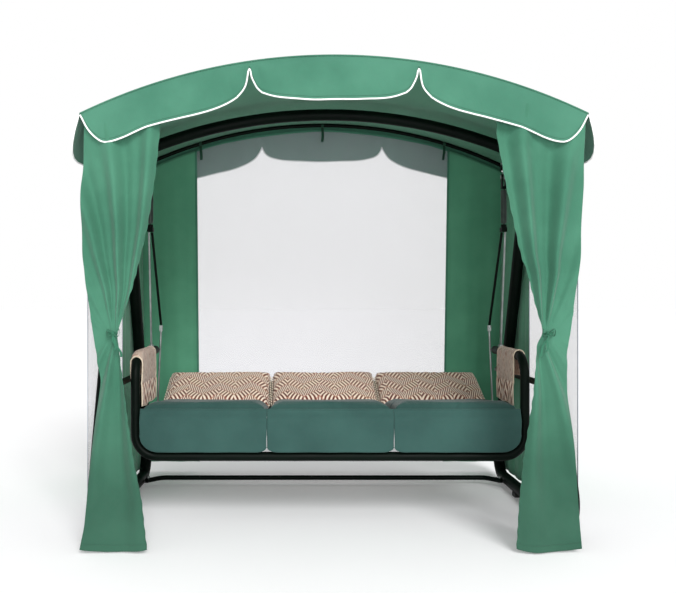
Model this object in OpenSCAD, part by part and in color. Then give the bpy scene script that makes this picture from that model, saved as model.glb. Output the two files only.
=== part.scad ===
// Canopy swing bench: three-seat garden swing under an arched, curtained canopy.
// Units mm, +Z up, front faces -Y, origin on the floor at the centre of the footprint.

/* [Canopy] */
// Width over the roof edges
canopy_w = 2100; // [1900:10:2300]
// Depth of the roof sheet, front to back
canopy_d = 1448; // [1300:2:1600]
// Height of the roof at its side edges
eave_z = 1800; // [1700:5:1900]
// Rise of the arch from side edge to crown
arch_rise = 240; // [180:5:300]
// Thickness of the roof sheet
roof_t = 3; // [2:0.5:4]
// Diameter of the canopy arch and rail tubes
canopy_tube_d = 20; // [16:1:25]

/* [Stand] */
// Diameter of the leg tubes
leg_d = 60; // [48:1:65]
// Distance of each side frame from the middle
leg_x = 1010; // [950:5:1050]
// Angle of the legs from the floor
leg_angle = 68; // [65:0.5:75]
// Radius of the bend at the foot of each leg
foot_bend_r = 120; // [90:5:160]
// Height of the floor tubes' centre line
floor_z = 38; // [33:1:45]
// Height of the tops of the legs
leg_top_z = 1705; // [1650:5:1730]
// Wall thickness of the tubes
tube_wall = 1.5; // [1:0.1:3]
// Diameter of the main arched beam
beam_d = 57; // [48:1:60]

/* [Swing] */
// Height of the swing pivots
pivot_z = 1636; // [1600:1:1660]
// Distance of each swing pivot from the middle
pivot_x = 880; // [860:1:900]
// Diameter of the pivot pins
pin_d = 12; // [10:0.5:14]
// Radial clearance of the moving pins
run_clear = 0.05; // [0.02:0.01:0.1]
// Distance of each seat arm from the middle
arm_x = 890; // [880:1:900]
// Diameter of the arm tubes
arm_d = 42; // [34:1:45]
// Height of the armrests' centre line
arm_z = 764; // [750:1:800]

/* [Cushions] */
// Width of one seat section
cushion_w = 572; // [540:1:580]
// Thickness of the seat cushions
seat_cushion_t = 70; // [50:1:80]
// Thickness of the back cushions
back_cushion_t = 58; // [50:1:80]
// Tilt of the seat towards the back
seat_pitch = 5.7; // [3:0.1:8]
// Rise of the backrest as folded down
back_pitch = 22; // [15:0.5:30]

/* [Fabric] */
// Height of the side curtains' and walls' lower edges
wall_z0 = 60; // [30:5:100]
// Height of the curtain ties
tie_z = 885; // [850:5:920]

/* [Output] */
// Node to draw

/* [Hidden] */
eps = 0.02;
half_w = canopy_w / 2;
half_d = canopy_d / 2;
crown_z = eave_z + arch_rise;
arc_r = (half_w * half_w + arch_rise * arch_rise) / (2 * arch_rise);
arc_z0 = crown_z - arc_r;
beam_r = arc_r;
beam_z0 = 1946 - beam_r;
cushion_step = 578;
hinge_y = 265;
hinge_z = 462;
deck_y = -350;
deck_z = 535;

function roof_z(x) = arc_z0 + sqrt(arc_r * arc_r - x * x);
function flip(p) = [for (i = [len(p) - 1 : -1 : 0]) [-p[i][0], p[i][1]]];

frame_green = [0.03, 0.12, 0.07];
cloth_green = [0.35, 0.62, 0.52];
net_white = [0.87, 0.86, 0.88];
steel = [0.6, 0.62, 0.62];
teal = [0.2, 0.35, 0.33];
pattern = [0.75, 0.58, 0.45];
black = [0.05, 0.05, 0.05];

// ---- helpers ----

module both() { children(); mirror([1, 0, 0]) children(); }

// Round bar of radius r following straight ["s", length] and bend ["b", radius, angle] steps from the origin along +X in the XY plane.
module run(steps, r, over = 0, i = 0) {
  if (i < len(steps)) {
    s = steps[i];
    if (s[0] == "s") {
      a = i == 0 ? over : 0;
      b = i == len(steps) - 1 ? over : 0;
      translate([-a, 0, 0]) rotate([0, 90, 0]) cylinder(h = s[1] + a + b, r = r, $fn = 64);
      translate([s[1], 0, 0]) run(steps, r, over, i + 1);
    } else {
      m = s[2] < 0 ? 1 : 0;
      mirror([0, m, 0]) translate([0, s[1], 0]) rotate([0, 0, -90])
        rotate_extrude(angle = abs(s[2]), $fn = 128) translate([s[1], 0]) circle(r = r, $fn = 64);
      sgn = s[2] < 0 ? -1 : 1;
      translate([0, sgn * s[1], 0]) rotate([0, 0, s[2]]) translate([0, -sgn * s[1], 0])
        run(steps, r, over, i + 1);
    }
  }
}

module tube_run(steps, d, wall = tube_wall) {
  difference() {
    run(steps, d / 2);
    run(steps, d / 2 - wall, 5);
  }
}

module rod_between(a, b, d) {
  v = b - a;
  l = norm(v);
  translate(a) rotate([0, acos(v[2] / l), atan2(v[1], v[0])]) cylinder(h = l, d = d, $fn = 48);
}

module tube_between(a, b, d, wall = tube_wall) {
  v = b - a;
  l = norm(v);
  translate(a) rotate([0, acos(v[2] / l), atan2(v[1], v[0])]) difference() {
    cylinder(h = l, d = d, $fn = 64);
    translate([0, 0, -1]) cylinder(h = l + 2, d = d - 2 * wall, $fn = 64);
  }
}

// Arched tube in the XZ plane, apex up, cut square at x = -xmax and xmax.
module arch_tube(r, z0, d, xmax, y) {
  a = asin(xmax / r) + 1;
  intersection() {
    translate([0, y, z0]) rotate([90, 0, 0]) rotate([0, 0, 90 - a]) difference() {
      rotate_extrude(angle = 2 * a, $fn = 256) translate([r, 0]) circle(d = d, $fn = 48);
      rotate([0, 0, -0.5]) rotate_extrude(angle = 2 * a + 1, $fn = 256) translate([r, 0]) circle(d = d - 2 * tube_wall, $fn = 48);
    }
    translate([-xmax, y - d, 1500]) cube([2 * xmax, 2 * d, 700]);
  }
}

// Flat panel: a polygon in XZ, t thick, centred on y.
module panel_xz(pts, t, y) {
  translate([0, y + t / 2, 0]) rotate([90, 0, 0]) linear_extrude(t) polygon(pts);
}

// Flat panel: a polygon in YZ, t thick, centred on x.
module panel_yz(pts, t, x) {
  translate([x - t / 2, 0, 0]) rotate([90, 0, 90]) linear_extrude(t) polygon(pts);
}

// ---- stand ----

turn = 180 - leg_angle;
leg_rise = leg_top_z - floor_z - foot_bend_r * (1 - cos(turn));
leg_len = leg_rise / sin(leg_angle);
leg_top_y = 34;
// y of the bend centre, measured outward from the middle
bend_y = leg_top_y + leg_len * cos(leg_angle) - foot_bend_r * sin(turn);
function leg_y(z) = leg_top_y + (leg_top_z - z) / tan(leg_angle);

module rear_leg() {
  translate([leg_x, 1, floor_z]) rotate([90, 0, 90])
    tube_run([["s", bend_y - 1], ["b", foot_bend_r, turn], ["s", leg_len]], leg_d, 1.8);
}

module front_leg_left() color(frame_green) mirror([0, 1, 0]) mirror([1, 0, 0]) rear_leg();
module front_leg_right() color(frame_green) mirror([0, 1, 0]) rear_leg();
module rear_leg_left() color(frame_green) mirror([1, 0, 0]) rear_leg();
module rear_leg_right() color(frame_green) rear_leg();

module floor_sleeves() color(frame_green) both()
  translate([leg_x, -70, floor_z]) rotate([-90, 0, 0]) difference() {
    cylinder(h = 140, d = leg_d + 5, $fn = 64);
    translate([0, 0, -1]) cylinder(h = 142, d = leg_d, $fn = 64);
  }

crossbar_d = 26;
crossbar_bend = 48;
crossbar_half = 870;
crossbar_end = 82;
module ring_2d(d) { difference() { circle(d = d, $fn = 64); circle(d = d - 2 * tube_wall, $fn = 64); } }
module rear_crossbar() color(frame_green) {
  translate([-crossbar_half, 490, floor_z]) rotate([0, 90, 0]) linear_extrude(2 * crossbar_half) ring_2d(crossbar_d);
  // bent ends, welded on
  both() translate([crossbar_half + 0.02, 430, floor_z]) {
    rotate([0, 0, 90 - crossbar_bend]) rotate_extrude(angle = crossbar_bend, $fn = 128) translate([60, 0]) ring_2d(crossbar_d);
    rotate([0, 0, -crossbar_bend]) translate([0.02, 60, 0]) rotate([0, 90, 0]) linear_extrude(crossbar_end) ring_2d(crossbar_d);
  }
}

module main_beam() color(frame_green) arch_tube(beam_r, beam_z0, beam_d, 955, 0);

plate_x = leg_x - leg_d / 2;
module top_brackets() color(frame_green) both() {
  difference() {
    translate([plate_x - 6, 0, 0]) rotate([90, 0, 90]) linear_extrude(6)
      polygon([[-62, 1792], [62, 1792], [118, 1660], [118, 1600], [90, 1575], [-90, 1575], [-118, 1600], [-118, 1660]]);
  }
  // collar that takes the end of the beam
  translate([955, 0, 0]) intersection() {
    translate([-beam_r * 0, 0, 0]) translate([0, 0, beam_z0 + sqrt(beam_r * beam_r - 955 * 955)])
      rotate([0, 90, 0]) difference() {
        cylinder(h = 9, d = beam_d + 16, $fn = 64);
        translate([0, 0, -1]) cylinder(h = 11, d = beam_d - 12, $fn = 64);
      }
  }
  // arm that carries the canopy rail
  translate([plate_x, -18, 1770]) cube([canopy_rail_x - canopy_tube_d / 2 - plate_x, 36, 14]);
}

lug_top_z = beam_z0 + sqrt(pow(beam_r - beam_d / 2, 2) - pow(pivot_x + 7, 2)) - 0.05;
module swing_lugs() color(steel) both() {
  // eye with its bore
  difference() {
    union() {
      translate([pivot_x - 4, 0, pivot_z]) rotate([0, 90, 0]) cylinder(h = 8, d = 36, $fn = 64);
      translate([pivot_x - 4, -9, pivot_z]) cube([8, 18, 62]);
    }
    translate([pivot_x - 6, 0, pivot_z]) rotate([0, 90, 0]) cylinder(h = 12, d = pin_d + 2 * run_clear, $fn = 64);
  }
  // collar under the beam
  translate([pivot_x, 0, pivot_z + 62]) cylinder(h = 8, d = 30, $fn = 48);
  // threaded shank up to the beam's underside
  translate([pivot_x, 0, pivot_z + 70]) cylinder(h = lug_top_z - pivot_z - 70, d = 14, $fn = 48);
}

brace_z = 642;
module side_braces() color(frame_green) both()
  translate([leg_x - leg_d / 2 - 15, -leg_y(brace_z) - 22, brace_z]) rotate([-90, 0, 0]) difference() {
    cylinder(h = 2 * leg_y(brace_z) + 44, d = 30, $fn = 64);
    translate([0, 0, -1]) cylinder(h = 2 * leg_y(brace_z) + 46, d = 27, $fn = 64);
  }

module foot_pads() color(black) both() for (y = [-560, -200, 200, 560])
  translate([leg_x, y, 0]) difference() {
    translate([-30, -28, 0]) cube([60, 56, 22]);
    translate([0, -30, floor_z]) rotate([-90, 0, 0]) cylinder(h = 60, d = leg_d, $fn = 64);
  }

module bolt(d = 18, h = 8) {
  cylinder(h = h * 0.4, d = d * 1.3, $fn = 48);
  translate([0, 0, h * 0.4]) cylinder(h = h * 0.6, d = d, $fn = 6);
}

module frame_bolts() color(steel) both() {
  // bracket bolts, inner face
  for (s = [-1, 1]) translate([plate_x - 6, s * 82, 1625]) rotate([0, -90, 0]) bolt();
  // bracket bolts, outer face of the legs
  for (s = [-1, 1]) translate([leg_x + leg_d / 2, s * leg_y(1625), 1625]) rotate([0, 90, 0]) bolt();
  // brace bolts
  for (s = [-1, 1]) translate([leg_x - leg_d / 2 - 30, s * leg_y(brace_z), brace_z]) rotate([0, -90, 0]) bolt(14, 6);
  // knobs that hold the floor crossbar
  translate([leg_x - leg_d / 2 - 18, 418, floor_z + crossbar_d / 2]) cylinder(h = 10, d = 18, $fn = 48);
}

// ---- canopy frame ----

canopy_arc_r = arc_r - roof_t - canopy_tube_d / 2 - 0.5;
arch_y = 655;
canopy_rail_x = 1034;
canopy_rail_z = 1783;
module canopy_front_arch() color(frame_green) arch_tube(canopy_arc_r, arc_z0, canopy_tube_d, 1021, -arch_y);
module canopy_rear_arch() color(frame_green) arch_tube(canopy_arc_r, arc_z0, canopy_tube_d, 1021, arch_y);
module canopy_side_rails() color(frame_green) both()
  tube_between([canopy_rail_x, -arch_y + 13, canopy_rail_z], [canopy_rail_x, arch_y - 13, canopy_rail_z], canopy_tube_d);
module canopy_corners() color(frame_green) both() for (s = [-1, 1])
  translate([1021, s * arch_y - 13, 1770]) cube([26, 26, 27]);

// ---- roof and valances ----

module roof_fabric() color(cloth_green) translate([0, half_d, 0]) rotate([90, 0, 0]) linear_extrude(canopy_d) intersection() {
  translate([0, arc_z0]) difference() {
    circle(r = arc_r, $fn = 256);
    circle(r = arc_r - roof_t, $fn = 256);
  }
  translate([-half_w, 1750]) square([2 * half_w, 400]);
}

// lower edge of the front valance, middle to right-hand corner
valance_edge = [[0, 1851], [90, 1852], [180, 1856], [258, 1867], [308, 1889], [328, 1917], [341, 1950], [350, 1980],
  [358, 1950], [367, 1908], [391, 1871], [443, 1835], [516, 1805], [627, 1778], [775, 1738],
  [862, 1698], [906, 1682], [945, 1675], [974, 1686], [1010, 1719], [1036, 1757], [1050, 1799]];
// the rear valance hangs a little lower, with shorter slits
rear_edge = [[0, 1832], [180, 1836], [258, 1845], [308, 1860], [334, 1882], [350, 1917], [366, 1882], [391, 1850],
  [443, 1816], [516, 1788], [627, 1761], [775, 1724], [862, 1686], [945, 1664], [974, 1675], [1010, 1708], [1036, 1750], [1050, 1799]];
valance_top = [for (i = [0 : 24]) let (x = half_w - i * canopy_w / 24) [x, roof_z(x)]];
valance_half = [for (i = [1 : len(valance_edge) - 2]) valance_edge[i]];
valance_pts = concat([valance_edge[0]], valance_half, valance_top, flip(valance_half));
rear_half = [for (i = [1 : len(rear_edge) - 2]) rear_edge[i]];
rear_pts = concat([rear_edge[0]], rear_half, valance_top, flip(rear_half));

module front_valance() color(cloth_green) panel_xz(valance_pts, 4, -half_d - 2);
module rear_valance() color(cloth_green) panel_xz(rear_pts, 4, half_d + 2);

side_edge = [[0, 1612], [180, 1616], [215, 1632], [240, 1700], [265, 1632], [300, 1616], [560, 1612], [640, 1625], [700, 1690], [722, 1790]];
side_half = [for (i = [1 : len(side_edge) - 1]) side_edge[i]];
side_pts = concat([side_edge[0]], side_half, flip(side_half));
module side_valance() translate([half_w + 2, 0, 1790]) rotate([0, -20, 0]) translate([-half_w - 2, 0, -1790])
  panel_yz(side_pts, 3, half_w + 3);
module left_valance() color(cloth_green) mirror([1, 0, 0]) side_valance();
module right_valance() color(cloth_green) side_valance();

// ---- curtains ----

curtain_tilt = 3.2;
module in_curtain_plane() translate([0, -700, 1800]) rotate([-curtain_tilt, 0, 0]) translate([0, 700, -1800]) children();

upper_right = [[1040, 1768], [960, 1800], [860, 1834], [760, 1864], [690, 1880], [676, 1604], [716, 1438],
  [774, 1207], [800, 1137], [846, 934], [858, tie_z], [968, tie_z], [985, 1000], [1015, 1200], [1038, 1500]];
lower_right = [[858, tie_z], [830, 850], [810, 640], [789, 510], [768, 390], [747, 205], [733, 6],
  [1000, 6], [990, 140], [978, 290], [962, 530], [950, 745], [955, 830], [968, tie_z]];
upper_left = [[1040, 1768], [960, 1800], [860, 1834], [760, 1864], [700, 1876], [712, 1725], [740, 1488],
  [772, 1310], [809, 1194], [842, 1066], [883, 963], [912, tie_z], [1004, tie_z], [1028, 1062], [1040, 1207], [1046, 1500]];
lower_left = [[912, tie_z], [898, 773], [886, 690], [866, 540], [839, 370], [804, 220], [777, 6],
  [1046, 6], [1025, 112], [1010, 290], [996, 507], [975, 694], [986, 773], [1004, tie_z]];

module curtain_left_upper() color(cloth_green) in_curtain_plane() mirror([1, 0, 0]) panel_xz(upper_left, 36, -699);
module curtain_left_lower() color(cloth_green) in_curtain_plane() mirror([1, 0, 0]) panel_xz(lower_left, 80, -705);
module curtain_right_upper() color(cloth_green) in_curtain_plane() panel_xz(upper_right, 36, -699);
module curtain_right_lower() color(cloth_green) in_curtain_plane() panel_xz(lower_right, 80, -705);

// tie-back loops round the curtains, and on to the legs
module tie_back(x0, x1) in_curtain_plane() translate([0, 0, tie_z - 12]) difference() {
  translate([x0 - 14, -705 - 54, 0]) cube([x1 - x0 + 28, 108, 24]);
  translate([x0 - 6, -705 - 46, -1]) cube([x1 - x0 + 12, 92, 26]);
}
module curtain_ties() color(cloth_green) {
  tie_back(850, 970);
  mirror([1, 0, 0]) tie_back(894, 1006);
}

// ---- walls ----

wall_tilt = 4.9;
module in_wall_plane() translate([0, 700, 1800]) rotate([wall_tilt, 0, 0]) translate([0, -700, -1800]) children();
function arc_top(x) = roof_z(x) - 34;
strip_in = 732;
module rear_wall_right() color(cloth_green) in_wall_plane() panel_xz(
  [[strip_in, wall_z0], [1044, wall_z0], [1044, 1760], [960, 1792], [850, 1834], [strip_in, arc_top(strip_in)]], 4, 700);
module rear_wall_left() color(cloth_green) mirror([1, 0, 0]) rear_wall_right();
module rear_net() color(net_white) in_wall_plane() panel_xz(
  concat([[-strip_in, wall_z0], [strip_in, wall_z0]], [for (i = [0 : 12]) let (x = strip_in - i * strip_in / 6) [x, arc_top(x)]]), 2, 700);

net_y0 = -640;
net_y1 = 140;
module side_wall() {
  panel_yz([[net_y1, wall_z0], [843, wall_z0], [711, 1600], [697, 1765], [net_y1, 1765]], 4, half_w - 1);
}
module side_wall_right() color(cloth_green) side_wall();
module side_wall_left() color(cloth_green) mirror([1, 0, 0]) side_wall();
module side_net() panel_yz([[net_y0, wall_z0], [net_y1, wall_z0], [net_y1, 1765], [net_y0, 1765]], 2, half_w - 1);
module side_net_right() color(net_white) side_net();
module side_net_left() color(net_white) mirror([1, 0, 0]) side_net();

module net_ties() color(frame_green) for (x = [-700, 0, 700])
  translate([x, arch_y, arc_z0 + sqrt(canopy_arc_r * canopy_arc_r - x * x)]) {
    rotate([0, asin(x / canopy_arc_r), 0]) difference() {
      rotate([0, 90, 0]) cylinder(h = 12, d = canopy_tube_d + 5, center = true, $fn = 48);
      rotate([0, 90, 0]) cylinder(h = 14, d = canopy_tube_d + 0.8, center = true, $fn = 48);
      translate([-10, -20, 7.5]) cube([20, 40, 20]);
    }
    translate([-7, 4, -92]) cube([14, 3, 81.4]);
  }

// ---- hanger ----

module hanger_clevises() color(steel) both() translate([pivot_x, 0, pivot_z]) {
  for (x = [-12, 6]) translate([x, 0, 0]) difference() {
    union() {
      rotate([0, 90, 0]) cylinder(h = 6, d = 30, $fn = 64);
      translate([0, -15, -46]) cube([6, 30, 46]);
    }
    translate([-1, 0, 0]) rotate([0, 90, 0]) cylinder(h = 8, d = pin_d, $fn = 64);
  }
  translate([-12, -15, -58]) cube([24, 30, 12]);
}

module swing_pins() color(steel) both() translate([pivot_x, 0, pivot_z]) rotate([0, 90, 0]) {
  translate([0, 0, -12]) cylinder(h = 24, d = pin_d, $fn = 64);
  translate([0, 0, 12]) cylinder(h = 4, d = 20, $fn = 64);
  translate([0, 0, -16]) cylinder(h = 4, d = 20, $fn = 64);
}

spring_top = pivot_z - 58;
spring_bot = 1400;
module hanger_springs() color(black) both() translate([pivot_x, 0, spring_bot]) difference() {
  cylinder(h = spring_top - spring_bot, d = 30, $fn = 64);
  translate([0, 0, -1]) cylinder(h = spring_top - spring_bot + 2, d = 21, $fn = 64);
}

// ---- seat frame ----

joint_z = 1382;
rod_d = 10;
front_end = [arm_x + 4, 115, arm_z + arm_d / 2 + 12];
rear_end = [864, 242, 895];
front_start = [pivot_x + 6, -4, joint_z - 20];
rear_start = [pivot_x - 6, 16, joint_z - 22];
link_end = [arm_x - 4, hinge_y, hinge_z + 5.6];

module hanger_joints() color(frame_green) both() {
  translate([pivot_x, 0, joint_z - 18]) {
    translate([-14, -13, 0]) cube([28, 40, 22]);
    translate([0, 0, 22]) cylinder(h = spring_bot - joint_z - 4, d = 28, $fn = 48);
  }
}

module front_hanger_rods() color(steel) both() {
  rod_between(front_start, front_end, rod_d);
  // foot that bolts on the armrest
  translate(front_end) translate([0, 0, -12]) cylinder(h = 12, d = 24, $fn = 48);
}

module rear_hanger_rods() color(frame_green) both() {
  rod_between(rear_start, rear_end, 13);
}

module rear_link_rods() color(steel) both() {
  // hook block under the upper rod
  translate(rear_end) translate([-8, -8, -34]) cube([16, 16, 29.8]);
  rod_between(rear_end + [0, 0, -30], link_end, rod_d);
}

bar_z = 310;
bar_y = -350;
bend_r = 100;
module seat_front_bar() color(frame_green) translate([0, bar_y, bar_z]) rotate([90, 0, 0]) both()
  tube_run([["s", arm_x - bend_r], ["b", bend_r, 90]], arm_d);

module arm_right() color(frame_green) translate([arm_x, bar_y, bar_z + bend_r]) rotate([0, -90, 0]) rotate([0, 0, 0])
  tube_run([["s", arm_z - bar_z - 2 * bend_r], ["b", bend_r, 90], ["s", 205 - bar_y - bend_r]], arm_d);
module arm_left() color(frame_green) mirror([1, 0, 0]) arm_right();

module arm_plugs() color(black) both() {
  translate([arm_x, 205, arm_z]) rotate([-90, 0, 0]) cylinder(h = 10, d = arm_d + 2, $fn = 48);
  // bolt from the plug to the link rod
  translate([arm_x - 17, 215, arm_z]) rotate([-90, 0, 0]) cylinder(h = 27, d = 8, $fn = 48);
}

module in_deck() translate([0, deck_y, deck_z]) rotate([-seat_pitch, 0, 0]) children();
// deck frame: y along the seat from its front edge, z above the cushion's top
rail_z = -seat_cushion_t - 4 - 15;
module seat_rails() color(frame_green) {
  in_deck() {
    // front and rear rails
    for (y = [24, 560]) translate([-848, y, rail_z]) rotate([0, 90, 0]) difference() {
      cylinder(h = 1696, d = 30, $fn = 64);
      translate([0, 0, -1]) cylinder(h = 1698, d = 27, $fn = 64);
    }
    // side rails between them, and outriggers to the arms
    both() translate([835, 39, rail_z]) rotate([-90, 0, 0]) difference() {
      cylinder(h = 506, d = 26, $fn = 64);
      translate([0, 0, -1]) cylinder(h = 508, d = 23, $fn = 64);
    }
  }
  both() in_deck() translate([848, 0, rail_z - 10]) cube([21, 30, 20]);
}

module seat_slats() color(black) in_deck() {
  for (i = [-5 : 5]) translate([i * 150 - 22, 12, rail_z + 15]) cube([44, 560, 3]);
}

module hinge_brackets() color(frame_green) both() difference() {
  union() {
    translate([872, hinge_y, hinge_z]) rotate([0, 90, 0]) cylinder(h = 5, d = 30, $fn = 64);
    panel_yz([[188, 376], [250, 376], [278, 440], [278, 462], [252, 462], [188, 402]], 5, 874.5);
    translate([848, 188, 378]) cube([24, 30, 24]);
  }
  translate([870, hinge_y, hinge_z]) rotate([0, 90, 0]) cylinder(h = 9, d = 10, $fn = 64);
}

module hinge_pins() color(steel) both() translate([0, hinge_y, hinge_z]) rotate([0, 90, 0]) {
  translate([0, 0, 864]) cylinder(h = 30, d = 10, $fn = 64);
  translate([0, 0, 860.5]) cylinder(h = 3.5, d = 13, $fn = 64);
  translate([0, 0, 894]) cylinder(h = 4, d = 17, $fn = 64);
}

// ---- seat soft parts ----

module rounded_slab(w, d, t, r) {
  // slab with rounded front and rear edges, y from 0 to d, top at z = 0
  translate([-w / 2, 0, 0]) rotate([90, 0, 90]) linear_extrude(w) union() {
    translate([r, -t]) square([d - 2 * r, t]);
    translate([0, -t + r]) square([d, t - 2 * r]);
    for (y = [r, d - r]) for (z = [-r, -t + r]) translate([y, z]) circle(r = r, $fn = 48);
  }
}

module seat_cushion(i) in_deck() translate([i * cushion_step, 0, 0]) rounded_slab(cushion_w, 585, seat_cushion_t, 24);
module seat_cushion_left() color(teal) seat_cushion(-1);
module seat_cushion_middle() color(teal) seat_cushion(0);
module seat_cushion_right() color(teal) seat_cushion(1);

module seat_valance() color(teal) for (i = [-1 : 1])
  translate([i * cushion_step, bar_y - arm_d / 2 - 4, 0]) rotate([90, 0, 0]) linear_extrude(12) union() {
    translate([-cushion_w / 2, 394]) square([cushion_w, 130]);
    translate([-cushion_w / 2 + 60, 334]) square([cushion_w - 120, 60]);
    for (s = [-1, 1]) translate([s * (cushion_w / 2 - 60), 394]) circle(r = 60, $fn = 96);
  }

module armrest_cover() translate([0, -290, 0]) rotate([-90, 0, 0]) linear_extrude(355) difference() {
  union() {
    translate([arm_x, -arm_z]) circle(d = arm_d + 16, $fn = 64);
    translate([arm_x - arm_d / 2 - 8, -arm_z]) square([arm_d / 2 + 8, arm_z - 530]);
    translate([arm_x, -arm_z]) square([arm_d / 2 + 8, arm_z - 660]);
  }
  translate([arm_x, -arm_z]) circle(d = arm_d, $fn = 64);
  translate([arm_x - arm_d / 2, -arm_z]) square([arm_d, 400]);
}
module armrest_cover_right() color(pattern) armrest_cover();
module armrest_cover_left() color(pattern) mirror([1, 0, 0]) armrest_cover();

// ---- backrest ----

back_lo = -38;
back_tube_z = back_lo - 4 - 12;
back_len = 366;
module in_back() translate([0, hinge_y, hinge_z]) rotate([back_pitch, 0, 0]) children();

module back_frame() color(frame_green) {
  in_back() {
    both() {
      // side tube
      translate([840, 14, back_tube_z]) rotate([-90, 0, 0]) difference() {
        cylinder(h = back_len - 14 - 12, d = 25, $fn = 64);
        translate([0, 0, -1]) cylinder(h = back_len, d = 22, $fn = 64);
      }
      // hinge plate with its bore
      difference() {
        union() {
          translate([866, 0, 0]) rotate([0, 90, 0]) cylinder(h = 4, d = 26, $fn = 64);
          translate([866, -8, -60]) cube([4, 22, 60]);
          translate([866, 14, -68]) cube([4, 60, 24]);
        }
        translate([864, 0, 0]) rotate([0, 90, 0]) cylinder(h = 8, d = 10 + 2 * run_clear, $fn = 64);
      }
      translate([852.5, 30, back_tube_z - 5]) cube([13.5, 30, 10]);
    }
    // cross tubes, the lower one between the side tubes
    for (y = [back_len - 12, 34]) let (h = y < 200 ? 827 : 852.5) translate([-h, y, back_tube_z]) rotate([0, 90, 0]) difference() {
      cylinder(h = 2 * h, d = 24, $fn = 64);
      translate([0, 0, -1]) cylinder(h = 2 * h + 2, d = 21, $fn = 64);
    }
  }
}

module back_slats() color(black) in_back()
  for (i = [-5 : 5]) translate([i * 150 - 22, 24, back_lo - 4]) cube([44, back_len - 26, 3]);

module back_cushion(i) in_back() translate([i * cushion_step, 8, back_lo + back_cushion_t]) rounded_slab(cushion_w, back_len, back_cushion_t, 22);
module back_cushion_left() color(pattern) back_cushion(-1);
module back_cushion_middle() color(pattern) back_cushion(0);
module back_cushion_right() color(pattern) back_cushion(1);

// ---- drawing ----

front_leg_left();
front_leg_right();
rear_leg_left();
rear_leg_right();
floor_sleeves();
rear_crossbar();
main_beam();
top_brackets();
swing_lugs();
side_braces();
foot_pads();
frame_bolts();
canopy_front_arch();
canopy_rear_arch();
canopy_side_rails();
canopy_corners();
roof_fabric();
front_valance();
rear_valance();
left_valance();
right_valance();
curtain_left_upper();
curtain_left_lower();
curtain_right_upper();
curtain_right_lower();
curtain_ties();
rear_wall_left();
rear_wall_right();
rear_net();
side_wall_left();
side_wall_right();
side_net_left();
side_net_right();
net_ties();
hanger_clevises();
swing_pins();
hanger_springs();
hanger_joints();
front_hanger_rods();
rear_hanger_rods();
rear_link_rods();
seat_front_bar();
arm_left();
arm_right();
arm_plugs();
seat_rails();
seat_slats();
hinge_brackets();
hinge_pins();
seat_cushion_left();
seat_cushion_middle();
seat_cushion_right();
seat_valance();
armrest_cover_left();
armrest_cover_right();
back_frame();
back_slats();
back_cushion_left();
back_cushion_middle();
back_cushion_right();
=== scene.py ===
import bpy
import math
import numpy as np
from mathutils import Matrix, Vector


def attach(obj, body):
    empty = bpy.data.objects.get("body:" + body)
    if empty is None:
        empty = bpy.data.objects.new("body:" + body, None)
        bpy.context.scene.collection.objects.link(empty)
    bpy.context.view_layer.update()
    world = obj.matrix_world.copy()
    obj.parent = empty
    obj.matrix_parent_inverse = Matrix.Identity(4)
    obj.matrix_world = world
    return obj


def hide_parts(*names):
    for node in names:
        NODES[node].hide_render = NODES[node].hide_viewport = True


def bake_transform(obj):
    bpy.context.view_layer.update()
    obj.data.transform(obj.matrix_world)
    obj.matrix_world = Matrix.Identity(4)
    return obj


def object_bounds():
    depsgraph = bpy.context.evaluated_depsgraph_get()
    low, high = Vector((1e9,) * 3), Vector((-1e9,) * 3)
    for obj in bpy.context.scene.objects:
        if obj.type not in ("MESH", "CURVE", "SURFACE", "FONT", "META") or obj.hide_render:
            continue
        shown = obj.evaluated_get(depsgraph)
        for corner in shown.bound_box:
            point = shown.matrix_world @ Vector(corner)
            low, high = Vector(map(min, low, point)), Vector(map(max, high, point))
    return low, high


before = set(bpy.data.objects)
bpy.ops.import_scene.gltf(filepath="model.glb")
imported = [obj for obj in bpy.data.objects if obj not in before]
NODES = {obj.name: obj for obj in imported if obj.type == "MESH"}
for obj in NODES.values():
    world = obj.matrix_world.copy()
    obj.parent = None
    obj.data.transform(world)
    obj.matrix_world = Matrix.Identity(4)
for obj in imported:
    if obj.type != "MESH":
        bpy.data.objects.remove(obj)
cad_lo, cad_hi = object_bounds()
cad_lo, cad_hi = list(cad_lo), list(cad_hi)

# ------------------------------------------------------------------ shape facts, metres
HALF_W, HALF_D = 1.050, 0.724
ARC_R, ARC_Z0 = 2.416875, -0.376875
TILT_BACK = math.tan(math.radians(4.9))
TILT_FRONT = math.tan(math.radians(3.2))


def roof_z(x):
    return ARC_Z0 + np.sqrt(ARC_R * ARC_R - np.asarray(x, float) ** 2)


def smooth(t):
    t = np.clip(t, 0, 1)
    return t * t * (3 - 2 * t)


def noise1(x, seed):
    """Soft repeatable noise along one direction, about -1 to 1."""
    r = np.random.RandomState(seed)
    v = np.zeros_like(np.asarray(x, float))
    for k in range(5):
        v = v + np.sin(np.asarray(x) * r.uniform(0.6, 2.2) * (k + 1) + r.uniform(0, 6.28)) / (k + 1.5)
    return v * 0.6


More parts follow.
